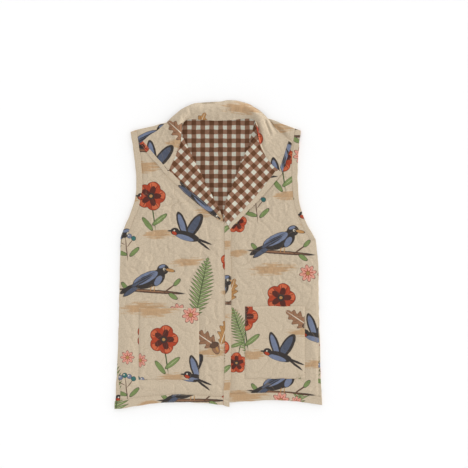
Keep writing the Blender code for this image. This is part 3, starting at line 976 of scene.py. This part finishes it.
def cut_grid(patch, spacing, trim=0.0):
    """A flat grid between a patch's sides, with about that spacing, trimmed by a share at its top left."""
    bm = bmesh.new()
    across = max(round(max(patch.bottom.length, patch.top.length) / spacing), LEAST_CELLS)
    along = max(round(max(patch.left.length, patch.right.length) / spacing), LEAST_CELLS)
    bmesh.ops.create_grid(bm, x_segments=across, y_segments=along, size=1.0)
    for vert in bm.verts:
        u, v = (vert.co.x + 1) / 2, (vert.co.y + 1) / 2
        spot = patch.spot(u, v * (1 - trim * (1 - u * u)))
        vert.co = (spot + drift(spot)).to_3d()
    return bm


def raise_cloth(bm, height):
    """Lifts each point to height(x, y)."""
    for vert in bm.verts:
        vert.co.z = height(vert.co.x, vert.co.y)


def close_cloth(bm, under, rounding):
    """Adds the lower face, at under(x, y, z) for each upper point, and rounds the upper rim."""
    rim = [edge for edge in bm.edges if edge.is_boundary]
    lower = bmesh.ops.extrude_face_region(bm, geom=bm.faces[:], use_keep_orig=True)["geom"]
    for vert in lower:
        if isinstance(vert, bmesh.types.BMVert):
            vert.co.z = under(*vert.co)
    bmesh.ops.recalc_face_normals(bm, faces=bm.faces)
    bmesh.ops.bevel(bm, geom=rim, offset=rounding, offset_type="OFFSET", affect="EDGES",
                    segments=RIM_SEGMENTS, profile=0.5, material=-1, clamp_overlap=True)
    for face in bm.faces:
        face.tag = False


def middle_of(face):
    """The spot under the middle of a face."""
    return face.calc_center_median().to_2d()


# %% [markdown]
# ## A sewn piece
#
# A tailor lays the pattern on the uncut cloth, and the pictures fall where they may. Each piece keeps
# that place as its map: the turn of the grain and the spot of the cloth under its middle. Faces that
# show a neighbour's cloth, beyond a seam or a turning, are tagged and get a second place.

# %% Sew a piece
SMOOTH_ANGLE = math.radians(55)
SELVAGE = (128, 61)   # from a piece's print to that of the neighbour that shows beyond a seam

# How a piece was cut: the turn of its grain in degrees, and the millimetres of cloth under its middle
Cut = namedtuple("Cut", "turn x y")
surfaces = {}


def chart_of(cut, node):
    """Finds the spot of the uncut cloth that a spot of the piece came from."""
    grain = Matrix.Rotation(math.radians(cut.turn), 2)
    shift = Vector((cut.x, cut.y)) * MM - grain @ patches[node].middle()
    return lambda spot: grain @ spot + shift


def make_object(name, bm, finishes):
    """Turns a mesh that is being worked on into a smooth object."""
    for face in bm.faces:
        face.smooth = True
    mesh = bpy.data.meshes.new(name)
    bm.to_mesh(mesh)
    bm.free()
    for finish in finishes:
        mesh.materials.append(finish)
    made = bpy.data.objects.new(name, mesh)
    bpy.context.collection.objects.link(made)
    return made


def sew(node, bm, finishes, slot, cut, flat, area, quilted=True, other=None):
    """Turns a closed mesh into the piece that stands for a node. Its tagged faces show another cut."""
    other = other or Cut(cut.turn, cut.x + SELVAGE[0], cut.y + SELVAGE[1])
    charts = chart_of(cut, node), chart_of(other, node)
    layer = bm.loops.layers.uv.new("cloth")
    for face in bm.faces:
        for loop in face.loops:
            loop[layer].uv = charts[face.tag](loop.vert.co.to_2d())
    depth = bm.verts.layers.float.new("quilted")
    for vert in bm.verts:
        vert[depth] = float(quilted)
    surfaces[node] = BVHTree.FromBMesh(bm)
    piece = make_object(f"{node}_cloth", bm, finishes)
    piece.data.set_sharp_from_angle(angle=SMOOTH_ANGLE)
    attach(piece, "root")
    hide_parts(node)
    faces = len(piece.data.polygons)
    print(f"{piece.name}: {faces} faces, cut {flat[0]:.3f} x {flat[1]:.3f} m, {area * 1e4:.0f} cm2")


# %% [markdown]
# ## Where sewing presses the quilting flat
#
# The pillows of a panel sink beside a seam and under a pocket. A ray from above tells whether a spot is
# covered, and a tree of points along the seams tells how far the next one is.

# %% Look down, and measure from a seam
HIGH = 0.1   # where a ray that looks down starts
MARK_STEP = 2 * MM


def look_down(tree, x, y):
    """The point of a surface that is seen from above at a spot, or None."""
    return tree.ray_cast(Vector((x, y, HIGH)), -UP)[0]


class Marks:
    """Points along some sides of pieces, to measure how far a spot is from them."""

    def __init__(self, sides):
        spots = []
        for side in sides:
            count = max(round(side.length / MARK_STEP), 1)
            spots += [side.at(k / count).to_3d() for k in range(count + 1)]
        self.tree = kdtree.KDTree(len(spots))
        for index, spot in enumerate(spots):
            self.tree.insert(spot, index)
        self.tree.balance()

    def off(self, x, y):
        """How far a spot is from the nearest point."""
        return self.tree.find(Vector((x, y, 0)))[2]


edge_of_back = Marks(patches["back"].sides)
print("from the origin to the back's edge:", round(edge_of_back.off(0, 0), 3), "m")

# %% Measure the freedom of a panel
SIDES = ("left", "right")
SEWN_FLAT = 3 * MM
SEWN_FADE = 13 * MM
EDGE_FLAT = 1.5 * MM
EDGE_FADE = 14 * MM
GROOVE_DEPTH = 0.7 * MM
GROOVE_REACH = 2.2 * MM
ON_A_FRONT = ("lapel", "lapel_band", "collar_band", "pocket", "armhole_band", "hem_band")
ON_FRONT = {side: [*(f"{piece}_{side}" for piece in ON_A_FRONT), "collar", "front_band"] for side in SIDES}


class Pressing:
    """Where a panel is held flat: under the pieces on it, beside them and along its own edge."""

    def __init__(self, panel, sewn_on):
        bm = bmesh.new()
        for node in sewn_on:
            bm.from_mesh(frame["nodes"][node].data)
        self.cover = BVHTree.FromBMesh(bm)
        bm.free()
        self.seams = Marks([side for node in sewn_on for side in patches[node].sides])
        self.edge = Marks(patches[panel].sides)

    def groove(self, x, y):
        """How far a seam pulls the panel down beside it."""
        return GROOVE_DEPTH * bell(self.seams.off(x, y), GROOVE_REACH)

    def freedom(self, x, y):
        """From 0 where the panel is pressed to 1 where it swells."""
        if look_down(self.cover, x, y):
            return 0.0
        sewn = ease((self.seams.off(x, y) - SEWN_FLAT) / SEWN_FADE)
        return min(sewn, ease((self.edge.off(x, y) - EDGE_FLAT) / EDGE_FADE))


print("sewn on the left front:", ", ".join(ON_FRONT["left"]))

# %% [markdown]
# ## The back
#
# The back is one quilted panel with the print outside, underneath as the vest lies, and gingham inside,
# which shows in the neck. It carries everything else, so only the open neck may swell. Underneath it is
# flat on the table, apart from the grooves that the quilting stitches pull in. On the right, the thin end
# of the lapel goes on under the collar. It lies on the lining, so the lining's mesh is cut along its edge
# and raised a little there, with the gingham turned to the bias.

# %% Turn the gingham to the bias
BIAS = 45.0

# Middles of pale squares in the photograph, on the lining and on the lapels, in millimetres
PALE_SQUARE = Vector((-65.6, 290.7))
PALE_DIAMONDS = {"left": Vector((-84.6, 206.2)), "right": Vector((81.9, 245.2))}

# The edge of the lapel's thin end
TUCK_FROM = Vector((64.1, 225.0)) * MM
TUCK_TO = Vector((86.3, 312.0)) * MM
TUCK_RUN = (TUCK_TO - TUCK_FROM).normalized()


def bias_cut(node, side):
    """The gingham under a piece's middle, with the squares of that side's lapel on their corners."""
    away = patches[node].middle() / MM - PALE_DIAMONDS[side]
    return Cut(BIAS, *(Matrix.Rotation(math.radians(BIAS), 2) @ away))


def tucked(x, y):
    """How far a spot is inside the edge of the lapel's thin end, or -1 where it can't be."""
    return (Vector((x, y)) - TUCK_FROM).cross(TUCK_RUN) if TUCK_FROM.y < y < TUCK_TO.y else -1.0


bias = bias_cut("lapel_left", "left")
print("the left lapel's middle is cut at", round(bias.x, 1), "across and", round(bias.y, 1), "mm along")

# %% Lay the back
BACK_SPACING = 3.2 * MM
BACK_ROUND = 1.2 * MM
BACK_QUILT = 0.6       # how much of the pillows' height the lining has
UNDER_GROOVE = 0.7 * MM
UNDER_GROOVE_WIDTH = 0.45 * MM
LINING_FACING = 0.5    # faces that point up by less than this have the print of the outside
TUCK_RISE = 0.9 * MM
TUCK_FADE = 1.5 * MM


def lay_back():
    patch = patches["back"]
    pressing = Pressing("back", ["front_left", "front_right", "lapel_left", "lapel_right", "collar"])
    bm = cut_grid(patch, BACK_SPACING)
    near = [face for face in bm.faces if abs(tucked(*middle_of(face))) < 2 * BACK_SPACING]
    edges = {edge for face in near for edge in face.edges}
    verts = {vert for face in near for vert in face.verts}
    bmesh.ops.bisect_plane(bm, geom=[*near, *edges, *verts], plane_co=TUCK_FROM.to_3d(),
                           plane_no=(TUCK_RUN.y, -TUCK_RUN.x, 0))

    def height(x, y):
        swell = pressing.freedom(x, y) * (BACK_QUILT * quilting(x, y) + crinkle(x, y))
        return BACK_TOP + swell + TUCK_RISE * ease(tucked(x, y) / TUCK_FADE)

    raise_cloth(bm, height)
    close_cloth(bm, lambda x, y, z: UNDER_GROOVE * bell(quilting(x, y), UNDER_GROOVE_WIDTH), BACK_ROUND)
    for face in bm.faces:
        face.material_index = int(face.normal.z < LINING_FACING)
        face.tag = face.normal.z > LINING_FACING and tucked(*middle_of(face)) > 0
    cut = Cut(0, *(patch.middle() / MM - PALE_SQUARE))
    sew("back", bm, (lining, printed), "print_cotton", cut, patch.size(), patch.area,
        other=bias_cut("back", "right"))


lay_back()

# %% [markdown]
# ## The fronts
#
# Both fronts lie on the back and meet under the front band. Every seam pulls them down beside it, and
# the lapel's edge holds them up a little. Towards the hem the side seams roll to the front, so some of
# the back's print shows there. The maps are set so that the print doesn't match from one side to the
# other, as on cloth that was cut without regard to its pictures.

# %% Lay the fronts
FRONT_SPACING = 2.2 * MM
FRONT_ROUND = 1.3 * MM
FRONT_CLEAR = 0.05 * MM
FRONT_CUTS = {"left": Cut(0, 122, 295), "right": Cut(0, 62, 213)}
LAPEL_LIFT = 2.2 * MM
LAPEL_LIFT_REACH = 18 * MM
LAPEL_GROOVE = 1.8 * MM
LAPEL_GROOVE_REACH = 2.6 * MM
SEAM_DIP = 0.9 * MM
SEAM_DIP_WIDTH = 1.8 * MM

# Towards the hem the side seam rolls to the front: where it begins and ends, and how far it comes in
Rolled = namedtuple("Rolled", "begins ends width")
ROLLED_SEAMS = {"left": Rolled(-0.262, -0.340, 0.011), "right": Rolled(-0.060, -0.330, 0.006)}


def lay_front(side):
    node = f"front_{side}"
    patch = patches[node]
    pressing = Pressing(node, ON_FRONT[side])
    lapel_edge = Marks(patches[f"lapel_band_{side}"].sides)
    seam = Marks([patch.left if side == "left" else patch.right])
    rolled = ROLLED_SEAMS[side]
    bm = cut_grid(patch, FRONT_SPACING)

    def beyond_seam(x, y):
        """How far a spot lies outside the rolled side seam."""
        roll_in = rolled.width * ease((y - rolled.begins) / (rolled.ends - rolled.begins))
        return roll_in - seam.off(x, y)

    def height(x, y):
        free = pressing.freedom(x, y)
        swell = quilting(x, y) + crinkle(x, y) if free else 0.0
        off = lapel_edge.off(x, y)
        lifted = max(1 - off / LAPEL_LIFT_REACH, 0.0)
        dip = pressing.groove(x, y) + LAPEL_GROOVE * bell(off, LAPEL_GROOVE_REACH)
        if y < rolled.begins:
            dip += SEAM_DIP * bell(beyond_seam(x, y), SEAM_DIP_WIDTH)
        return PRESSED + lie(x, y) + free * swell + LAPEL_LIFT * lifted**2 - dip

    raise_cloth(bm, height)
    close_cloth(bm, lambda x, y, z: BACK_TOP + FRONT_CLEAR, FRONT_ROUND)
    for face in bm.faces:
        x, y = middle_of(face)
        face.tag = y < rolled.begins and beyond_seam(x, y) > 0
    sew(node, bm, (printed,), "print_cotton", FRONT_CUTS[side], patch.size(), patch.area)


for side in SIDES:
    lay_front(side)

# %% [markdown]
# ## Patch pockets
#
# A patch pocket is a quilted square with its top edge turned over and stitched, and it is sewn on along
# its other sides. It takes up the creases of the front under it.

# %% Sew on the pockets
POCKET_SPACING = 2.0 * MM
POCKET_ROUND = 0.4 * MM
POCKET_WALL = 0.9 * MM
POCKET_HEM = 25 * MM
POCKET_HEM_RISE = 0.5 * MM
POCKET_HEM_STEP = 2 * MM
POCKET_QUILT = 0.7
POCKET_CRINKLE = 0.5
POCKET_RIM = 0.5 * MM
POCKET_RIM_REACH = 4 * MM
POCKET_CUTS = {"left": Cut(0, 90, 120), "right": Cut(0, 150, 70)}


def sew_pocket(side):
    node = f"pocket_{side}"
    patch = patches[node]
    top = max(point.y for point in patch.outline)
    pressing = Pressing(node, [f"hem_band_{side}"])
    bm = cut_grid(patch, POCKET_SPACING)

    def height(x, y):
        hem = ease((y - top + POCKET_HEM + POCKET_HEM_STEP / 2) / POCKET_HEM_STEP)
        swell = pressing.freedom(x, y) * (1 - hem) * POCKET_QUILT * quilting(x, y)
        full = BED + POCKET_WALL + hem * POCKET_HEM_RISE + swell + POCKET_CRINKLE * crinkle(x, y)
        sewn = ease(1 - pressing.edge.off(x, y) / POCKET_RIM_REACH)
        return full + sewn * (PRESSED + POCKET_RIM - full) + lie(x, y)

    raise_cloth(bm, height)
    close_cloth(bm, lambda x, y, z: PRESSED + lie(x, y), POCKET_ROUND)
    sew(node, bm, (printed,), "print_cotton", POCKET_CUTS[side], patch.size(), patch.area)


for side in SIDES:
    sew_pocket(side)

# %% [markdown]
# ## Lapels and collar
#
# These pieces roll over the neck edge, so their heights can't come from a layer alone. A fine grid is
# dropped on the frame's coarse surface by casting a ray down at each point, and then smoothed, which
# turns its facets into one soft roll. Smoothing would also open a lapel's fold, so the cloth is filled
# up again to its crest and rounded off close to the edge. At foot and tip the print is turned over.

# %% Drop a grid on the frame
ROLL_INSET = 0.3 * MM
ROLL_SMOOTHING = 12
ROLL_SOFTNESS = 0.5


def drop_on(bm, node):
    """Lays a flat grid on a node's upper side and smooths it."""
    solid = merged(node)
    tree = BVHTree.FromBMesh(solid)
    solid.free()
    inward = {}
    for vert in bm.verts:
        if vert.is_boundary:
            others = [edge.other_vert(vert).co for edge in vert.link_edges]
            inward[vert] = (sum(others, Vector()) / len(others) - vert.co).normalized() * ROLL_INSET
    for vert in bm.verts:
        x, y, _ = vert.co + inward.get(vert, Vector())
        hit = look_down(tree, x, y) or tree.find_nearest(Vector((x, y, HIGH)))[0]
        vert.co.z = hit.z
    for _ in range(ROLL_SMOOTHING):
        bmesh.ops.smooth_vert(bm, verts=bm.verts, factor=ROLL_SOFTNESS, use_axis_z=True)


# %% Fold the lapels and turn the print over
FOLD_SINK = 0.4 * MM
FOLD_DROP = 0.9 * MM
FOLD_SHARE = 0.06      # of a lapel's width, over which its folded edge is rounded
FOLD_BLEND = (0.08, 0.16)

# Where the print is turned over a lapel: beyond a line, up to an x, and whether it is another piece
Turned = namedtuple("Turned", "axis line x_to other")
TURNED = {
    "left": [Turned(Vector((0.69, -0.72)), -0.0692, 1.0, False),
             Turned(Vector((-0.68, -0.73)), -0.0638, -0.1, True)],
    "right": [Turned(Vector((1.0, 0.0)), 0.1375, 1.0, True)],
}


def turned_over(side, spot):
    """The turned print that a spot at the foot or tip of a lapel is covered with, or None."""
    for turn in TURNED.get(side, []):
        if turn.axis.dot(spot) > turn.line and spot.x < turn.x_to:
            return turn
    return None


def fill_fold(bm, patch, crest):
    """Rounds a lapel off close to its fold, its longest side, as doubled cloth lies."""
    outer, fold = (Marks([side]) for side in sorted(patch.sides, key=lambda side: side.length)[-2:])
    for vert in bm.verts:
        reach, rest = (marks.off(vert.co.x, vert.co.y) for marks in (fold, outer))
        share = reach / (reach + rest)
        top = crest - FOLD_SINK - FOLD_DROP * (1 - ease(share / FOLD_SHARE))
        part = 1 - ease((share - FOLD_BLEND[0]) / (FOLD_BLEND[1] - FOLD_BLEND[0]))
        vert.co.z += part * max(top - vert.co.z, 0.0)
    return fold


# %% Roll the lapels and the collar
ROLL_SPACING = 2.0 * MM
ROLL_ROUND = 0.7 * MM
FOLD_UNDER = 2.5 * MM
COLLAR_CUT = Cut(8, 4, 121)

# A rolled piece: its thickness, finishes, slot, the rectangle it is cut from and its share of crinkles
Roll = namedtuple("Roll", "wall finishes slot flat crinkled")
LAPEL = Roll(1.8 * MM, (gingham, printed), "gingham_cotton", (0.090, 0.230), 0.5)
COLLAR = Roll(1.9 * MM, (printed,), "print_cotton", (0.100, 0.560), 1.0)


def roll(node, kind, cut, side=None):
    """Sews a rolled piece, for a lapel with its fold and the print that is turned over it."""
    patch = patches[node]
    bm = cut_grid(patch, ROLL_SPACING)
    drop_on(bm, node)
    fold = fill_fold(bm, patch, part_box(node)[1].z) if side else None
    for vert in bm.verts:
        vert.co.z += lie(vert.co.x, vert.co.y) + kind.crinkled * crinkle(vert.co.x, vert.co.y)
    area = sum(face.calc_area() for face in bm.faces)

    def under(x, y, z):
        return FRONT_UNDER if fold and fold.off(x, y) < FOLD_UNDER else z - kind.wall

    close_cloth(bm, under, ROLL_ROUND)
    for face in bm.faces:
        turn = turned_over(side, middle_of(face))
        face.tag = bool(turn and turn.other)
        face.material_index = int(turn is not None)
    sew(node, bm, kind.finishes, kind.slot, cut, kind.flat, area, quilted=kind is COLLAR)


for side in SIDES:
    node = f"lapel_{side}"
    roll(node, LAPEL, bias_cut(node, side), side)
roll("collar", COLLAR, COLLAR_CUT)

# %% [markdown]
# ## Strips and bands
#
# The edges are finished with strips of the same print: a lapped band down the front, facings round the
# armholes, bands along the hem and edgings on lapels and collar. Each strip is cut from another part of
# the cloth, so its pictures are cut through. The hem's strip crosses the foot of the front band, and the
# right lapel's edging narrows to its foot.

# %% Sew on the strips
STRIP_SPACING = 1.8 * MM
STRIP_ROUND = 0.45 * MM
STRIP_TAPER = 0.85      # a strip's mean width, as a share of its full width
STRIP_SINK = 0.35 * MM
STRIP_CRINKLE = 0.35
BAND_HEM = 13 * MM      # how far up the hem strip covers the front band
TRIM_MEAN = 2 / 3       # of what is trimmed off at one end, over the whole length

# How a strip is cut, the piece it lies on and the share of its width that is trimmed off
Strip = namedtuple("Strip", "cut lies_on trim", defaults=(0.0,))
STRIPS = {
    "front_band": Strip(Cut(0, 107, 207), "front_left"),
    "armhole_band_left": Strip(Cut(4, 108, 76), "front_left"),
    "armhole_band_right": Strip(Cut(-4, 140, 120), "front_right"),
    "hem_band_left": Strip(Cut(-4, 28, 234), "front_left"),
    "hem_band_right": Strip(Cut(0, 130, 190), "front_right"),
    "lapel_band_left": Strip(Cut(72, 50, 249), "lapel_left"),
    "lapel_band_right": Strip(Cut(-43, 138, 2), "lapel_right", 0.42),
    "collar_band_left": Strip(Cut(50, 120, 150), "collar"),
    "collar_band_right": Strip(Cut(-70, 76, 262), "collar"),
}


def sew_strip(node, strip):
    patch = patches[node]
    low, high = (corner.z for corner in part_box(node))
    foot, corner = patch.corners[:2]
    crossed = node == "front_band"
    bm = cut_grid(patch, STRIP_SPACING, strip.trim)

    def above_hem(x, y):
        """How far a spot of the front band is above the hem strip that crosses it."""
        return (corner - foot).normalized().cross(Vector((x, y)) - foot) - BAND_HEM

    def height(x, y):
        dip = SEAM_DIP * bell(above_hem(x, y), SEAM_DIP_WIDTH) if crossed else 0.0
        return high - STRIP_SINK + lie(x, y) + STRIP_CRINKLE * crinkle(x, y) - dip

    raise_cloth(bm, height)
    close_cloth(bm, lambda x, y, z: low - SEAM_GAP + lie(x, y), STRIP_ROUND)
    for face in bm.faces:
        face.tag = crossed and above_hem(*middle_of(face)) < 0
    area = patch.area * (1 - strip.trim * TRIM_MEAN)
    length = max(side.length for side in patch.sides)
    flat = (area / length / STRIP_TAPER, length)
    sew(node, bm, (printed,), "edging_cotton", strip.cut, flat, area,
        quilted=False)


for node, strip in STRIPS.items():
    sew_strip(node, strip)

# %% [markdown]
# ## Rows of stitches
#
# Every strip and pocket is held by a row of machine stitches just inside its edge. A stitch is a small
# rounded bead of thread, laid on the cloth between two needle holes. All of them are one mesh.

# %% Lay out the rows
EDGE_INSET = 2.0 * MM
COLLAR_INSET = 5 * MM
SEWN_SIDES = {
    "pocket": ("left", "bottom", "right", "top"),
    "armhole_band": ("left", "right"),
    "collar_band": ("left", "right"),
    "hem_band": ("bottom", "top"),
    "lapel_band": ("bottom", "top"),
}
INSETS = {("pocket", "top"): POCKET_HEM - EDGE_INSET}   # this row holds the pocket's hem

# A row along one side of a piece: bottom, right, top or left, and how far in it runs
Row = namedtuple("Row", "node side inset", defaults=(EDGE_INSET,))
rows = [Row("front_band", "right"), Row("front_band", "left"), Row("collar", "top", COLLAR_INSET)]
for side in SIDES:
    for piece, edges in SEWN_SIDES.items():
        rows += [Row(f"{piece}_{side}", edge, INSETS.get((piece, edge), EDGE_INSET)) for edge in edges]

print("rows of stitches:", len(rows))

# %% Sew a row
STITCH_PITCH = 3.0 * MM
STITCH_LENGTH = 2.2 * MM
STITCH_LONGEST = 2 * STITCH_LENGTH   # a longer one would hang between two layers
STITCH_THICK = 0.24 * MM


def stitch(bm, one, other):
    """A bead of thread between two needle holes."""
    run = other - one
    place = Matrix.Translation((one + other) / 2) @ run.to_track_quat("X", "Z").to_matrix().to_4x4()
    sizes = Matrix.Diagonal((run.length / 2, STITCH_THICK, STITCH_THICK, 1))
    bmesh.ops.create_icosphere(bm, subdivisions=1, radius=1.0, matrix=place @ sizes)


def stitch_row(bm, row):
    """Sews a row wherever both needle holes are on the piece."""
    edge = getattr(patches[row.node], row.side)
    for k in range(int((edge.length - 2 * EDGE_INSET) / STITCH_PITCH)):
        start = EDGE_INSET + k * STITCH_PITCH
        spots = [edge.inset(row.inset, (start + step) / edge.length) for step in (0, STITCH_LENGTH)]
        holes = [look_down(surfaces[row.node], *(spot + drift(spot))) for spot in spots]
        seated = all(hole and hole.z > BACK_TOP for hole in holes)
        if seated and (holes[1] - holes[0]).length < STITCH_LONGEST:
            stitch(bm, *holes)


# %% Stitch the edges
THREAD_TONES = (ink(176, 156, 128), ink(206, 190, 164))
THREAD_TONE_SIZE = 1.5
THREAD_ROUGH = 0.7


def dye_thread():
    finish = Finish("thread")
    spot = finish.add("ShaderNodeTexCoord", output="Object")
    tone = finish.noise(finish.vector("MULTIPLY", spot, (1 / MM,) * 3), THREAD_TONE_SIZE)
    finish.feed(finish.shader, {"Base Color": finish.mix(tone, *THREAD_TONES), "Roughness": THREAD_ROUGH})
    return finish.material


beads = bmesh.new()
for row in rows:
    stitch_row(beads, row)
stitches = make_object("stitches", beads, [dye_thread()])
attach(stitches, "root")
print("faces of the stitches:", len(stitches.data.polygons))

# %% [markdown]
# ## Floor and light
#
# The vest lies on a plain pale floor. A pale room lights it from all round, a little more from low down,
# which leaves a faint soft halo on the floor. A broad light from the right draws out the quilting. It
# casts no shadow, as if a reflector stood opposite.

# %% Lay the floor
FLOOR_SIZE = 24.0
FLOOR_TONE = 0.84
FLOOR_ROUGH = 0.9

paint = Finish("floor_paint")
paint.feed(paint.shader, {"Base Color": (*(FLOOR_TONE,) * 3, 1), "Roughness": FLOOR_ROUGH})
boards = bmesh.new()
bmesh.ops.create_grid(boards, x_segments=1, y_segments=1, size=FLOOR_SIZE / 2)
floor = make_object("floor", boards, [paint.material])
print("floor:", FLOOR_SIZE, "m wide")

# %% Light the room
ROOM_LIGHT = 0.80
LOW_LIGHT = 1.8
SIDE_LIGHT = 2.4
SIDE_LIGHT_FROM = Vector((0.877, 0.319, 0.36))
SIDE_LIGHT_SPREAD = math.radians(30)


class Room(Finish):
    """Light from all round that is built up from nodes, as a finish is."""

    def __init__(self, name):
        self.world = bpy.data.worlds.new(name)
        self.world.use_nodes = True
        self.tree = self.world.node_tree
        self.shader = self.tree.nodes["Background"]


room = Room("studio")
low = 1.0 - room.parts(room.add("ShaderNodeTexCoord", output="Generated"))[2]
room.feed(room.shader, {"Color": (1, 1, 1, 1), "Strength": low * low * low * low * LOW_LIGHT + ROOM_LIGHT})
bpy.context.scene.world = room.world

light = bpy.data.lights.new("side_light", "SUN")
light.energy, light.angle, light.use_shadow = SIDE_LIGHT, SIDE_LIGHT_SPREAD, False
lamp = bpy.data.objects.new("side_light", light)
lamp.rotation_euler = (-SIDE_LIGHT_FROM).to_track_quat("-Z", "Y").to_euler()
bpy.context.collection.objects.link(lamp)
print("side light stands", round(math.degrees(math.asin(SIDE_LIGHT_FROM.normalized().z))), "degrees high")

# %% [markdown]
# ## Camera
#
# The photograph looks straight down, and the sides of the vest don't lean, so the camera stands high with
# a long lens. The scale that was read from the photograph gives the width of what it sees.

# %% Set up the camera
PHOTO_PIXELS = 468
PIXEL_MM = 2.3
FRAME_WIDTH = PHOTO_PIXELS * PIXEL_MM * MM
VIEW_CENTRE = Vector((0.0368, 0.046, 0.0))
LENS = 85.0
SENSOR = 36.0

camera = bpy.data.objects.new("camera", bpy.data.cameras.new("camera"))
camera.data.lens, camera.data.sensor_width = LENS, SENSOR
camera.location = VIEW_CENTRE + UP * (FRAME_WIDTH * LENS / SENSOR)
bpy.context.collection.objects.link(camera)
bpy.context.scene.camera = camera
bpy.context.scene.view_settings.view_transform = "Standard"
print("camera height:", round(camera.location.z, 3), "m")
